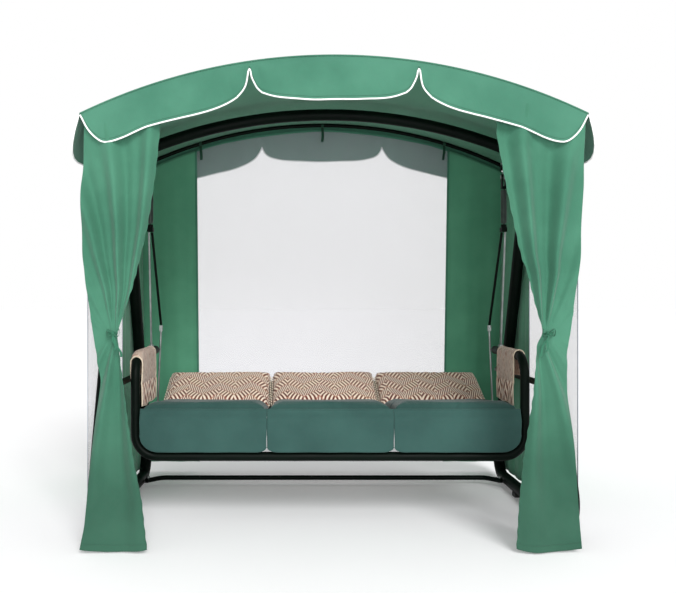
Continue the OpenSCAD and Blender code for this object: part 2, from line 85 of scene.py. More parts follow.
# ------------------------------------------------------------------ materials
class Tree:
    def __init__(self, name):
        self.mat = bpy.data.materials.new(name)
        self.mat.use_nodes = True
        self.nt = self.mat.node_tree
        self.nt.nodes.clear()
        self.out = self.nt.nodes.new("ShaderNodeOutputMaterial")
        self.bsdf = self.nt.nodes.new("ShaderNodeBsdfPrincipled")
        self.nt.links.new(self.bsdf.outputs[0], self.out.inputs[0])

    def put(self, socket, value):
        if value is None:
            return
        if hasattr(value, "is_output"):
            self.nt.links.new(value, socket)
        else:
            socket.default_value = value

    def coord(self, which="Object"):
        if which == "cloth":
            n = self.nt.nodes.new("ShaderNodeUVMap")
            n.uv_map = "cloth"
            return n.outputs[0]
        return self.nt.nodes.new("ShaderNodeTexCoord").outputs[which]

    def split(self, vec):
        n = self.nt.nodes.new("ShaderNodeSeparateXYZ")
        self.nt.links.new(vec, n.inputs[0])
        return n.outputs[0], n.outputs[1], n.outputs[2]

    def join(self, x, y, z=0.0):
        n = self.nt.nodes.new("ShaderNodeCombineXYZ")
        for s, v in zip(n.inputs, (x, y, z)):
            self.put(s, v)
        return n.outputs[0]

    def m(self, op, a, b=None, c=None, clamp=False):
        n = self.nt.nodes.new("ShaderNodeMath")
        n.operation = op
        n.use_clamp = clamp
        for s, v in zip(n.inputs, (a, b, c)):
            self.put(s, v)
        return n.outputs[0]

    def rng(self, v, a, b, c=0.0, d=1.0, kind="SMOOTHSTEP"):
        n = self.nt.nodes.new("ShaderNodeMapRange")
        n.interpolation_type = kind
        for i, x in enumerate((v, a, b, c, d)):
            self.put(n.inputs[i], x)
        return n.outputs[0]

    def noise(self, vec, scale, detail=3.0, rough=0.5):
        n = self.nt.nodes.new("ShaderNodeTexNoise")
        self.put(n.inputs["Vector"], vec)
        n.inputs["Scale"].default_value = scale
        n.inputs["Detail"].default_value = detail
        n.inputs["Roughness"].default_value = rough
        return n.outputs[0]

    def mix(self, f, a, b):
        n = self.nt.nodes.new("ShaderNodeMix")
        n.data_type = "RGBA"
        self.put(n.inputs[0], f)
        self.put(n.inputs[6], a)
        self.put(n.inputs[7], b)
        return n.outputs[2]

    def bump(self, height, strength, distance=0.001, normal=None):
        n = self.nt.nodes.new("ShaderNodeBump")
        n.inputs["Strength"].default_value = strength
        n.inputs["Distance"].default_value = distance
        self.put(n.inputs["Height"], height)
        if normal is not None:
            self.put(n.inputs["Normal"], normal)
        self.nt.links.new(n.outputs[0], self.bsdf.inputs["Normal"])
        return n.outputs[0]

    def sin(self, v, period):
        return self.m("SINE", self.m("MULTIPLY", v, 2 * math.pi / period))


def srgb(r, g, b):
    out = []
    for c in (r, g, b):
        c /= 255.0
        out.append(c / 12.92 if c <= 0.04045 else ((c + 0.055) / 1.055) ** 2.4)
    return (out[0], out[1], out[2], 1.0)


def cloth_material(name, dark, light, weave=0.0016, sheen=0.15, rough=0.82, coord="cloth"):
    t = Tree(name)
    uv = t.coord(coord)
    u, v, w = t.split(uv)
    warp = t.sin(u, weave)
    weft = t.sin(v, weave)
    woven = t.m("MULTIPLY", warp, weft)
    big = t.noise(t.coord("Object"), 3.2, 4.0, 0.55)
    fine = t.noise(t.coord("Object"), 60.0, 3.0, 0.6)
    f = t.m("ADD", t.m("MULTIPLY", t.rng(big, 0.3, 0.7), 0.62), t.m("MULTIPLY", fine, 0.38), clamp=True)
    f = t.m("ADD", f, t.m("MULTIPLY", woven, 0.10), clamp=True)
    t.put(t.bsdf.inputs["Base Color"], t.mix(f, dark, light))
    t.put(t.bsdf.inputs["Roughness"], t.rng(fine, 0.3, 0.7, rough - 0.08, rough + 0.06))
    t.bsdf.inputs["Sheen Weight"].default_value = sheen
    t.bsdf.inputs["Sheen Roughness"].default_value = 0.45
    t.bsdf.inputs["Specular IOR Level"].default_value = 0.28
    h = t.m("ADD", t.m("MULTIPLY", woven, 0.5), t.m("MULTIPLY", fine, 0.8))
    t.bump(h, 0.35, 0.0006)
    return t.mat


def pattern_material(name, coord="cloth"):
    """Zigzag bands of leaning cream and dark dashes on a brownish ground."""
    t = Tree(name)
    u, v, w = t.split(t.coord(coord))
    fr = t.m("FRACT", t.m("DIVIDE", u, 0.170))
    tri = t.m("MULTIPLY", t.m("ABSOLUTE", t.m("SUBTRACT", fr, 0.5)), 2.0)
    side = t.m("SIGN", t.m("SUBTRACT", fr, 0.5))
    wob = t.noise(t.join(u, v, 0.0), 9.0, 2.0)
    zig = t.m("ADD", v, t.m("MULTIPLY", tri, 0.078))
    zig = t.m("ADD", zig, t.m("MULTIPLY", wob, 0.012))
    band = t.m("DIVIDE", zig, 0.070)
    bf = t.m("FRACT", band)
    even = t.m("FLOORED_MODULO", t.m("FLOOR", band), 2.0)
    inside = t.rng(t.m("ABSOLUTE", t.m("SUBTRACT", bf, 0.5)), 0.40, 0.50, 1.0, 0.15)
    lean = t.m("MULTIPLY", t.m("MULTIPLY", side, bf), t.m("SUBTRACT", 1.7, t.m("MULTIPLY", even, 3.4)))
    phase = t.m("ADD", t.m("DIVIDE", u, 0.0150), t.m("ADD", lean, t.m("MULTIPLY", even, 0.5)))
    wave = t.m("SINE", t.m("MULTIPLY", phase, 2 * math.pi))
    light = t.m("MULTIPLY", t.rng(wave, -0.05, 0.45), inside)
    darkm = t.m("MULTIPLY", t.rng(wave, -0.20, -0.75), inside)
    g = t.noise(t.coord("Object"), 9.0, 3.0)
    base = t.mix(t.rng(g, 0.35, 0.65), srgb(176, 116, 98), srgb(190, 140, 112))
    c = t.mix(t.m("MULTIPLY", darkm, 0.9), base, srgb(72, 32, 28))
    c = t.mix(t.m("MULTIPLY", light, 0.95), c, srgb(246, 232, 214))
    t.put(t.bsdf.inputs["Base Color"], c)
    fine = t.noise(t.coord("Object"), 140.0, 3.0, 0.6)
    weave = t.m("MULTIPLY", t.sin(u, 0.0022), t.sin(v, 0.0022))
    t.put(t.bsdf.inputs["Roughness"], t.rng(fine, 0.3, 0.7, 0.78, 0.92))
    t.bsdf.inputs["Sheen Weight"].default_value = 0.15
    t.bsdf.inputs["Specular IOR Level"].default_value = 0.25
    h = t.m("ADD", t.m("MULTIPLY", weave, 0.5), t.m("ADD", fine, t.m("MULTIPLY", light, 0.6)))
    t.bump(h, 0.4, 0.0007)
    return t.mat


def paint_material(name, dark, light, rough=0.34):
    t = Tree(name)
    o = t.coord("Object")
    big = t.noise(o, 6.0, 4.0, 0.6)
    fine = t.noise(o, 420.0, 2.0, 0.5)
    f = t.m("ADD", t.m("MULTIPLY", t.rng(big, 0.35, 0.7), 0.7), t.m("MULTIPLY", fine, 0.3), clamp=True)
    t.put(t.bsdf.inputs["Base Color"], t.mix(f, dark, light))
    t.put(t.bsdf.inputs["Roughness"], t.rng(big, 0.3, 0.7, rough - 0.06, rough + 0.10))
    t.bsdf.inputs["Specular IOR Level"].default_value = 0.07
    t.bsdf.inputs["Coat Weight"].default_value = 0.0
    t.bsdf.inputs["Coat Roughness"].default_value = 0.22
    t.bump(fine, 0.25, 0.0004)
    return t.mat


def metal_material(name, dark, light, rough=0.3):
    t = Tree(name)
    o = t.coord("Object")
    x, y, z = t.split(o)
    brushed = t.noise(t.join(t.m("MULTIPLY", x, 1.0), t.m("MULTIPLY", y, 1.0), t.m("MULTIPLY", z, 12.0)), 90.0, 3.0, 0.6)
    spots = t.noise(o, 14.0, 4.0, 0.6)
    f = t.m("ADD", t.m("MULTIPLY", brushed, 0.5), t.m("MULTIPLY", t.rng(spots, 0.3, 0.7), 0.5), clamp=True)
    t.put(t.bsdf.inputs["Base Color"], t.mix(f, dark, light))
    t.bsdf.inputs["Metallic"].default_value = 1.0
    t.put(t.bsdf.inputs["Roughness"], t.rng(brushed, 0.2, 0.8, rough - 0.08, rough + 0.14))
    t.bump(brushed, 0.2, 0.0003)
    return t.mat


def rubber_material(name):
    t = Tree(name)
    o = t.coord("Object")
    fine = t.noise(o, 300.0, 3.0, 0.6)
    dust = t.noise(o, 18.0, 4.0, 0.6)
    t.put(t.bsdf.inputs["Base Color"], t.mix(t.rng(dust, 0.45, 0.75), srgb(22, 24, 23), srgb(48, 50, 48)))
    t.put(t.bsdf.inputs["Roughness"], t.rng(fine, 0.3, 0.7, 0.55, 0.8))
    t.bump(fine, 0.4, 0.0004)
    return t.mat


def webbing_material(name):
    t = Tree(name)
    o = t.coord("Object")
    x, y, z = t.split(o)
    rib = t.sin(x, 0.005)
    cross = t.sin(t.m("ADD", y, t.m("MULTIPLY", z, 1.0)), 0.003)
    h = t.m("MULTIPLY", rib, cross)
    fine = t.noise(o, 120.0, 3.0)
    f = t.m("ADD", t.rng(h, -0.7, 0.9, 0.0, 0.6), t.m("MULTIPLY", fine, 0.4), clamp=True)
    t.put(t.bsdf.inputs["Base Color"], t.mix(f, srgb(34, 40, 38), srgb(74, 84, 80)))
    t.put(t.bsdf.inputs["Roughness"], t.rng(fine, 0.3, 0.7, 0.7, 0.88))
    t.bsdf.inputs["Sheen Weight"].default_value = 0.12
    t.bump(h, 0.5, 0.0006)
    return t.mat


def net_material(name, openness=0.62, pitch=0.0028):
    """Fine mosquito net: threads with open holes between them."""
    t = Tree(name)
    u, v, w = t.split(t.coord("cloth"))
    half = t.m("MULTIPLY", t.m("FLOORED_MODULO", t.m("FLOOR", t.m("DIVIDE", v, pitch)), 2.0), 0.5)
    fu = t.m("SUBTRACT", t.m("FRACT", t.m("ADD", t.m("DIVIDE", u, pitch), half)), 0.5)
    fv = t.m("SUBTRACT", t.m("FRACT", t.m("DIVIDE", v, pitch)), 0.5)
    r = t.m("SQRT", t.m("ADD", t.m("MULTIPLY", fu, fu), t.m("MULTIPLY", fv, fv)))
    edge = math.sqrt(openness / math.pi)
    thread = t.rng(r, edge - 0.05, edge + 0.05)
    n = t.noise(t.coord("Object"), 8.0, 3.0)
    fine = t.noise(t.coord("Object"), 500.0, 2.0)
    t.put(t.bsdf.inputs["Base Color"], t.mix(t.m("MULTIPLY", t.m("ADD", n, fine), 0.5), srgb(186, 184, 196), srgb(212, 211, 222)))
    t.put(t.bsdf.inputs["Alpha"], t.m("ADD", t.m("MULTIPLY", thread, 0.44), 0.17, clamp=True))
    t.put(t.bsdf.inputs["Roughness"], t.rng(fine, 0.3, 0.7, 0.6, 0.8))
    t.bsdf.inputs["Specular IOR Level"].default_value = 0.2
    t.bump(thread, 0.3, 0.0004)
    return t.mat


def stripe_material(name):
    """Rolled hem with slanted dark dashes on cream."""
    t = Tree(name)
    u, v, w = t.split(t.coord("cloth"))
    wave = t.m("SINE", t.m("MULTIPLY", t.m("ADD", t.m("DIVIDE", v, 0.027), t.m("DIVIDE", u, 0.040)), 2 * math.pi))
    d = t.rng(wave, 0.35, 0.75)
    fine = t.noise(t.coord("Object"), 150.0, 3.0)
    light = t.mix(fine, srgb(232, 214, 188), srgb(250, 238, 220))
    t.put(t.bsdf.inputs["Base Color"], t.mix(d, light, srgb(60, 34, 30)))
    t.put(t.bsdf.inputs["Roughness"], t.rng(fine, 0.3, 0.7, 0.75, 0.9))
    t.bump(fine, 0.4, 0.0006)
    return t.mat


M_PAINT = paint_material("frame_paint_mat", srgb(3, 9, 6), srgb(8, 19, 13), 0.46)
M_STEEL = metal_material("plated_steel_mat", srgb(112, 118, 116), srgb(168, 174, 172), 0.34)
M_SPRING = metal_material("spring_steel_mat", srgb(60, 68, 64), srgb(104, 112, 108), 0.36)
M_RUBBER = rubber_material("black_rubber_mat")
M_WEB = webbing_material("webbing_mat")
M_GREEN = cloth_material("canopy_cloth_mat", srgb(54, 108, 87), srgb(74, 130, 107))
M_LINING = cloth_material("canopy_lining_mat", srgb(60, 122, 94), srgb(76, 142, 112))
M_WALL = cloth_material("wall_cloth_mat", srgb(76, 140, 110), srgb(92, 158, 126))
M_TIE = cloth_material("tie_cloth_mat", srgb(18, 52, 38), srgb(34, 76, 56), sheen=0.1)
M_TEAL = cloth_material("teal_cloth_mat", srgb(36, 68, 64), srgb(50, 86, 80), sheen=0.2)
M_NET = net_material("white_net_mat")
M_PATTERN = pattern_material("pattern_cloth_mat")
M_CURTAIN = cloth_material("curtain_cloth_mat", srgb(50, 104, 82), srgb(72, 128, 104))
# painted shade: the curtain colour is scaled down with height, from full at z 0.95 to 0.52 at z 0.10, standing in for
# the shade on the lower drape
cn = M_CURTAIN.node_tree
socket = [n for n in cn.nodes if n.type == "BSDF_PRINCIPLED"][0].inputs["Base Color"]
came = socket.links[0].from_socket
place_node = cn.nodes.new("ShaderNodeTexCoord")
parts_node = cn.nodes.new("ShaderNodeSeparateXYZ")
cn.links.new(place_node.outputs["Object"], parts_node.inputs[0])
height = cn.nodes.new("ShaderNodeMapRange")
height.interpolation_type = "SMOOTHSTEP"
cn.links.new(parts_node.outputs[2], height.inputs["Value"])
height.inputs["From Min"].default_value = 0.10
height.inputs["From Max"].default_value = 0.95
height.inputs["To Min"].default_value = 0.52
height.inputs["To Max"].default_value = 1.0
painted_shade_scale = cn.nodes.new("ShaderNodeVectorMath")
painted_shade_scale.operation = "SCALE"
cn.links.new(came, painted_shade_scale.inputs[0])
cn.links.new(height.outputs["Result"], painted_shade_scale.inputs["Scale"])
cn.links.new(painted_shade_scale.outputs[0], socket)
M_KNOT = cloth_material("curtain_tie_mat", srgb(34, 88, 66), srgb(54, 116, 90), sheen=0.1)
M_TAPE = cloth_material("net_tape_mat", srgb(186, 190, 200), srgb(206, 210, 220), sheen=0.1)
M_CREAM = cloth_material("cream_edge_mat", srgb(206, 190, 166), srgb(226, 212, 190), sheen=0.1)
M_STRIPE = stripe_material("striped_hem_mat")
M_PIPING = cloth_material("white_piping_mat", srgb(236, 238, 236), srgb(252, 252, 250), weave=0.0012, sheen=0.2)

PAINT = ["front_leg_left", "front_leg_right", "rear_leg_left", "rear_leg_right", "floor_sleeves", "rear_crossbar",
         "main_beam", "top_brackets", "side_braces", "canopy_front_arch", "canopy_rear_arch", "canopy_side_rails",
         "seat_front_bar", "arm_left", "arm_right", "seat_rails", "hinge_brackets", "back_frame", "rear_hanger_rods",
         "hanger_joints", "hanger_clevises"]
STEEL = ["swing_lugs", "frame_bolts", "swing_pins", "front_hanger_rods", "rear_link_rods", "hinge_pins"]
RUBBER = ["foot_pads", "canopy_corners", "arm_plugs"]
WEB = ["seat_slats", "back_slats"]
for names, mat in ((PAINT, M_PAINT), (STEEL, M_STEEL), (RUBBER, M_RUBBER), (WEB, M_WEB)):
    for n in names:
        if n in NODES:
            NODES[n].data.materials.clear()
            NODES[n].data.materials.append(mat)


# ------------------------------------------------------------------ mesh helpers
def make(name, verts, faces, mat, uv=None, smooth_faces=True):
    me = bpy.data.meshes.new(name)
    me.from_pydata([tuple(map(float, v)) for v in verts], [], [tuple(f) for f in faces])
    me.update()
    if uv is not None:
        layer = me.uv_layers.new(name="cloth")
        idx = np.empty(len(me.loops), dtype=np.int32)
        me.loops.foreach_get("vertex_index", idx)
        layer.data.foreach_set("uv", np.asarray(uv, np.float32)[idx].ravel())
    if smooth_faces:
        me.polygons.foreach_set("use_smooth", np.ones(len(me.polygons), dtype=bool))
    me.materials.append(mat)
    ob = bpy.data.objects.new(name, me)
    bpy.context.scene.collection.objects.link(ob)
    return ob


def grid(name, P, mat, uv=None, thick=0.0, flip=False, keep=None, inner=None):
    """Sheet from a (rows, cols, 3) array of points; uv is (rows, cols, 2) in metres."""
    rows, cols = P.shape[:2]
    if uv is None:
        du = np.zeros((rows, cols))
        du[:, 1:] = np.cumsum(np.linalg.norm(np.diff(P, axis=1), axis=2), axis=1)
        dv = np.zeros((rows, cols))
        dv[1:, :] = np.cumsum(np.linalg.norm(np.diff(P, axis=0), axis=2), axis=0)
        uv = np.stack([du, dv], axis=2)
    idx = np.arange(rows * cols).reshape(rows, cols)
    faces = []
    for r in range(rows - 1):
        for c in range(cols - 1):
            if keep is not None and not keep[r, c]:
                continue
            q = (idx[r, c], idx[r, c + 1], idx[r + 1, c + 1], idx[r + 1, c])
            faces.append(q[::-1] if flip else q)
    ob = make(name, P.reshape(-1, 3), faces, mat, uv.reshape(-1, 2))
    if thick > 0:
        mod = ob.modifiers.new("thick", "SOLIDIFY")
        mod.thickness = thick
        mod.offset = 0.0
        mod.use_even_offset = False
        if inner is not None:
            ob.data.materials.append(inner)
            mod.material_offset = 1
        bake(ob)
    return ob


def bake(ob):
    """Applies the modifiers."""
    dg = bpy.context.evaluated_depsgraph_get()
    bpy.context.view_layer.update()
    ev = ob.evaluated_get(dg)
    me = bpy.data.meshes.new_from_object(ev, preserve_all_data_layers=True, depsgraph=dg)
    old = ob.data
    ob.modifiers.clear()
    ob.data = me
    bpy.data.meshes.remove(old)
    return ob


def resample(path, step):
    path = np.asarray(path, float)
    d = np.r_[0, np.cumsum(np.linalg.norm(np.diff(path, axis=0), axis=1))]
    n = max(3, int(round(d[-1] / step)) + 1)
    s = np.linspace(0, d[-1], n)
    return np.stack([np.interp(s, d, path[:, k]) for k in range(path.shape[1])], axis=1)


def tube(name, path, radius, mat, sides=8, closed=False, taper=True):
    path = np.asarray(path, float)
    n = len(path)
    if closed:
        tan = np.roll(path, -1, axis=0) - np.roll(path, 1, axis=0)
    else:
        tan = np.gradient(path, axis=0)
    tan /= np.linalg.norm(tan, axis=1)[:, None] + 1e-12
    up = np.array([0.0, 0.0, 1.0])
    if abs(tan[0] @ up) > 0.9:
        up = np.array([0.0, 1.0, 0.0])
    a = np.cross(tan[0], up)
    a /= np.linalg.norm(a)
    verts, uvs = [], []
    length = np.r_[0, np.cumsum(np.linalg.norm(np.diff(path, axis=0), axis=1))]
    for i in range(n):
        a = a - tan[i] * (a @ tan[i])
        a /= np.linalg.norm(a) + 1e-12
        b = np.cross(tan[i], a)
        r = radius[i] if hasattr(radius, "__len__") else radius
        for k in range(sides):
            w = 2 * math.pi * k / sides
            verts.append(path[i] + r * (math.cos(w) * a + math.sin(w) * b))
            uvs.append((2 * math.pi * r * k / sides, length[i]))
    faces = []
    last = n if closed else n - 1
    for i in range(last):
        j = (i + 1) % n
        for k in range(sides):
            l = (k + 1) % sides
            faces.append((i * sides + k, i * sides + l, j * sides + l, j * sides + k))
    if not closed:
        verts += [path[0], path[-1]]
        uvs += [(0, 0), (0, length[-1])]
        c0, c1 = n * sides, n * sides + 1
        for k in range(sides):
            l = (k + 1) % sides
            faces.append((c0, l, k))
            faces.append((c1, (n - 1) * sides + k, (n - 1) * sides + l))
    return make(name, verts, faces, mat, uvs)


def mirror_x(P):
    Q = P.copy()
    Q[..., 0] *= -1
    return Q


def ribbon(name, path, across, width, thick, mat):
    """Flat strip along path; across is the width direction at each point."""
    path = np.asarray(path, float)
    across = np.asarray(across, float)
    if across.ndim == 1:
        across = np.repeat(across[None, :], len(path), axis=0)
    across = across / np.linalg.norm(across, axis=1)[:, None]
    w = width if hasattr(width, "__len__") else np.full(len(path), width)
    cols = 5
    P = np.zeros((len(path), cols, 3))
    for c in range(cols):
        P[:, c] = path + across * (w[:, None] if hasattr(w, "shape") else w) * (c / (cols - 1) - 0.5)
    return grid(name, P, mat, thick=thick)


# ------------------------------------------------------------------ roof sheet
def build_roof():
    xs = np.linspace(-HALF_W, HALF_W, 169)
    ys = np.linspace(-HALF_D, HALF_D, 117)
    X, Y = np.meshgrid(xs, ys)
    Z = roof_z(X) - 0.0012
    inside = np.clip(1 - (Y / 0.655) ** 2, 0, 1)
    Z -= 0.007 * inside * (0.35 + 0.65 * smooth((np.abs(Y) * 0 + 1)))
    Z -= 0.003 * smooth((np.abs(Y) - 0.660) / 0.06)
    wr = 0.0011 * np.sin(26 * X + 5 * np.sin(3 * Y)) * inside + 0.0009 * np.sin(17 * Y + 4 * np.sin(2.2 * X)) * inside
    corner = np.exp(-(((np.abs(X) - 1.03) / 0.22) ** 2 + ((np.abs(Y) - 0.69) / 0.25) ** 2))
    wr += 0.0016 * corner * np.sin(60 * (X + Y))
    Z += np.minimum(wr, 0.0016)
    for sx in (-0.350, 0.350):
        Z += 0.0012 * np.exp(-((X - sx) / 0.006) ** 2) - 0.0008 * np.exp(-((X - sx) / 0.022) ** 2)
    P = np.stack([X, Y, Z], axis=2)
    uv = np.stack([X, Y], axis=2)
    ob = grid("roof_sheet", P, M_GREEN, uv=uv, thick=0.0014, flip=False, inner=M_LINING)
    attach(ob, "frame")
    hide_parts("roof_fabric")
    for i, sx in enumerate((-0.350, 0.350)):
        for k, off in enumerate((-0.009, 0.009)):
            y = np.linspace(-0.722, 0.722, 150)
            x = np.full_like(y, sx + off)
            ins = np.clip(1 - (y / 0.655) ** 2, 0, 1)
            z = roof_z(x) - 0.0012 - 0.007 * ins + 0.0016 - 0.003 * smooth((np.abs(y) - 0.660) / 0.06)
            s = tube("roof_stitch_%d_%d" % (i, k), np.stack([x, y, z], 1), 0.0010, M_GREEN, 5)
            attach(s, "frame")


VAL_EDGE = np.array([[0, 1851], [90, 1852], [180, 1856], [230, 1861.5], [258, 1867], [288, 1877], [308, 1889], [320, 1902],
                     [328, 1917], [336, 1933], [342.5, 1950], [345, 1968], [350, 1980], [355, 1968], [357.5, 1950], [361, 1928],
                     [367, 1908], [377, 1889], [391, 1871], [415, 1852], [443, 1835], [478, 1819], [516, 1805], [570, 1791],
                     [627, 1778], [700, 1759], [775, 1738], [820, 1718], [862, 1698], [906, 1682], [945, 1675], [960, 1678],
                     [974, 1686], [992, 1700], [1010, 1719], [1026, 1740], [1038, 1763], [1050, 1799]]) / 1000.0
REAR_EDGE = np.array([[0, 1832], [90, 1833], [180, 1836], [230, 1840], [258, 1845], [288, 1852], [308, 1860], [322, 1869],
                      [334, 1882], [343, 1898], [350, 1917], [357, 1898], [366, 1882], [378, 1865], [391, 1850], [415, 1832],
                      [443, 1816], [478, 1801], [516, 1788], [570, 1774], [627, 1761], [700, 1743], [775, 1724], [820, 1705],
                      [862, 1686], [906, 1671], [945, 1664], [960, 1667], [974, 1675], [992, 1690], [1010, 1708],
                      [1026, 1730], [1038, 1754], [1050, 1797]]) / 1000.0


def build_valance(name, node, side, amp, seed, table):
    half = np.r_[np.linspace(0, 0.30, 30)[:-1], np.linspace(0.30, 0.400, 101)[:-1], np.linspace(0.400, 1.050, 84)]
    xs = np.r_[-half[::-1], half[1:]]
    edge = np.interp(np.abs(xs), table[:, 0], table[:, 1])
    # soften the polyline a little away from the slits
    ker = np.array([1, 2, 3, 2, 1.0])
    ker /= ker.sum()
    sm = np.convolve(np.pad(edge, 2, mode="edge"), ker, mode="valid")
    near = np.abs(np.abs(xs) - 0.350) < 0.011
    edge = np.where(near, edge, sm)
    top = roof_z(xs) - 0.0012 - 0.003
    rows = 30
    t = np.r_[np.linspace(0, 1, rows)]
    P = np.zeros((rows, len(xs), 3))
    drop = top - edge
    for r, a in enumerate(t):
        z = top - drop * a
        depth = drop * a
        lobe = np.where(np.abs(xs) < 0.349, np.cos(xs / 0.349 * math.pi / 2),
                        np.sin(np.clip((np.abs(xs) - 0.349) / 0.701, 0, 1) * math.pi))
        bulge = amp * lobe * smooth(depth / 0.16) + 0.0045 * np.sin(xs * 15 + seed + 1.4 * np.sin(xs * 6)) * smooth(depth / 0.12)
        slit = np.exp(-((np.abs(xs) - 0.350) / 0.075) ** 2)
        bulge = bulge + 0.0035 * slit * np.sin((np.abs(xs) - 0.35) * 95 + depth * 30) * smooth(depth / 0.05)
        bulge = bulge + 0.0022 * np.sin(xs * 33 - depth * 28 + 2 * np.sin(xs * 4 + seed)) * smooth(depth / 0.07)
        curl = 0.006 * (1 - smooth(depth / 0.014))
        y = side * (HALF_D + 0.0015 + bulge - curl * 0.6)
        zz = z + 0.0 * depth
        P[r, :, 0] = xs
        P[r, :, 1] = y
        P[r, :, 2] = zz
    ob = grid(name, P, M_GREEN, thick=0.0016, flip=side > 0,
              uv=np.stack([P[:, :, 0], P[:, :, 2]], axis=2))
    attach(ob, "frame")
    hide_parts(node)
    path = P[-1].copy()
    path[:, 1] += side * 0.0012
    path = resample(path, 0.004)
    pipe = tube(name + "_piping", path, 0.0036, M_PIPING, 8)
    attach(pipe, "frame")
    # stitched line above the piping
    st = P[-3].copy()
    row = np.stack([P[-1][:, 0], P[-1][:, 1], P[-1][:, 2] + 0.013], 1)
    row[:, 1] = st[:, 1] + side * 0.0010
    ok = row[:, 2] < top - 0.004
    run = []
    part = 0
    for p, good in zip(row, ok):
        if good:
            run.append(p)
        if (not good or p is row[-1]) and len(run) > 8:
            s = tube("%s_stitch_%d" % (name, part), resample(np.array(run), 0.012), 0.0006, M_TIE, 4)
            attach(s, "frame")
            part += 1
            run = []
    area = float(np.trapezoid(drop, xs)) if hasattr(np, "trapezoid") else float(np.trapz(drop, xs))


SIDE_EDGE = np.array([[0, 1622], [180, 1626], [205, 1634], [222, 1652], [233, 1678], [240, 1712], [247, 1678], [258, 1652], [275, 1634], [300, 1626], [540, 1624],
                      [600, 1632], [648, 1650], [682, 1680], [706, 1724], [722, 1790]]) / 1000.0


def build_side_valance(name, node, side):
    half = np.r_[np.linspace(0, 0.19, 16)[:-1], np.linspace(0.19, 0.30, 45)[:-1], np.linspace(0.30, 0.722, 38)]
    ys = np.r_[-half[::-1], half[1:]]
    edge = np.interp(np.abs(ys), SIDE_EDGE[:, 0], SIDE_EDGE[:, 1])
    rows = 24
    P = np.zeros((rows, len(ys), 3))
    top = 1.7975
    tan = math.tan(math.radians(20))
    for r in range(rows):
        a = r / (rows - 1)
        depth = (top - edge) * a
        z = top - depth
        out = depth * tan * (1 - 0.15 * smooth(depth / 0.18))
        wave = 0.004 * np.sin(ys * 19 + 0.7 + np.sin(ys * 5)) * smooth(depth / 0.12)
        P[r, :, 0] = side * (1.0515 + out + wave)
        P[r, :, 1] = ys
        P[r, :, 2] = z
    uv = np.stack([P[:, :, 1], P[:, :, 2]], axis=2)
    ob = grid(name, P, M_GREEN, thick=0.0016, flip=side < 0, uv=uv)
    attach(ob, "frame")
    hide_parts(node)
    path = P[-1].copy()
    path[:, 0] += side * 0.001
    pipe = tube(name + "_piping", resample(path, 0.006), 0.0036, M_PIPING, 8)
    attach(pipe, "frame")


def build_edge_piping():
    # welted seam where the roof joins the valances
    for nm, side in (("front", -1), ("rear", 1)):
        x = np.linspace(-1.050, 1.050, 260)
        p = np.stack([x, np.full_like(x, side * (HALF_D + 0.0005)), roof_z(x) - 0.0036], 1)
        s = tube("roof_welt_" + nm, p, 0.0030, M_GREEN, 8)
        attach(s, "frame")
    for nm, side in (("left", -1), ("right", 1)):
        y = np.linspace(-0.722, 0.722, 160)
        p = np.stack([np.full_like(y, side * 1.0508), y, np.full_like(y, 1.7972)], 1)
        s = tube("roof_welt_" + nm, p, 0.0030, M_GREEN, 8)
        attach(s, "frame")


# ------------------------------------------------------------------ curtains
CUR = {
    "right": dict(
        outer=[(1.884, 0.700), (1.864, 0.760), (1.834, 0.860), (1.800, 0.960), (1.768, 1.040), (1.500, 1.038), (1.200, 1.015), (1.000, 0.985), (0.885, 0.968), (0.830, 0.955),
               (0.745, 0.950), (0.530, 0.962), (0.290, 0.978), (0.140, 0.990), (0.006, 1.000)],
        inner=[(1.880, 0.690), (1.604, 0.676), (1.438, 0.716), (1.207, 0.774), (1.137, 0.800), (0.934, 0.846), (0.885, 0.858),
               (0.850, 0.830), (0.640, 0.810), (0.510, 0.789), (0.390, 0.768), (0.205, 0.747), (0.006, 0.733)]),
    "left": dict(
        outer=[(1.864, 0.760), (1.834, 0.860), (1.800, 0.960), (1.768, 1.040), (1.500, 1.046), (1.207, 1.040), (1.062, 1.018), (0.885, 0.990), (0.773, 0.970), (0.694, 0.958),
               (0.507, 0.978), (0.290, 0.996), (0.112, 1.012), (0.006, 1.030)],
        inner=[(1.876, 0.700), (1.725, 0.712), (1.488, 0.740), (1.310, 0.772), (1.194, 0.802), (1.066, 0.832), (0.963, 0.868),
               (0.885, 0.893), (0.773, 0.878), (0.690, 0.864), (0.540, 0.842), (0.370, 0.814), (0.220, 0.782), (0.006, 0.758)]),
}
TIE_Z = 0.885


def curve(points, zs):
    p = np.array(sorted(points))
    return np.interp(zs, p[:, 0], p[:, 1])


def soften(a, k):
    ker = np.hanning(2 * k + 3)[1:-1]
    ker /= ker.sum()
    pad = np.pad(a, k, mode="reflect", reflect_type="odd")
    return np.convolve(pad, ker, mode="valid")


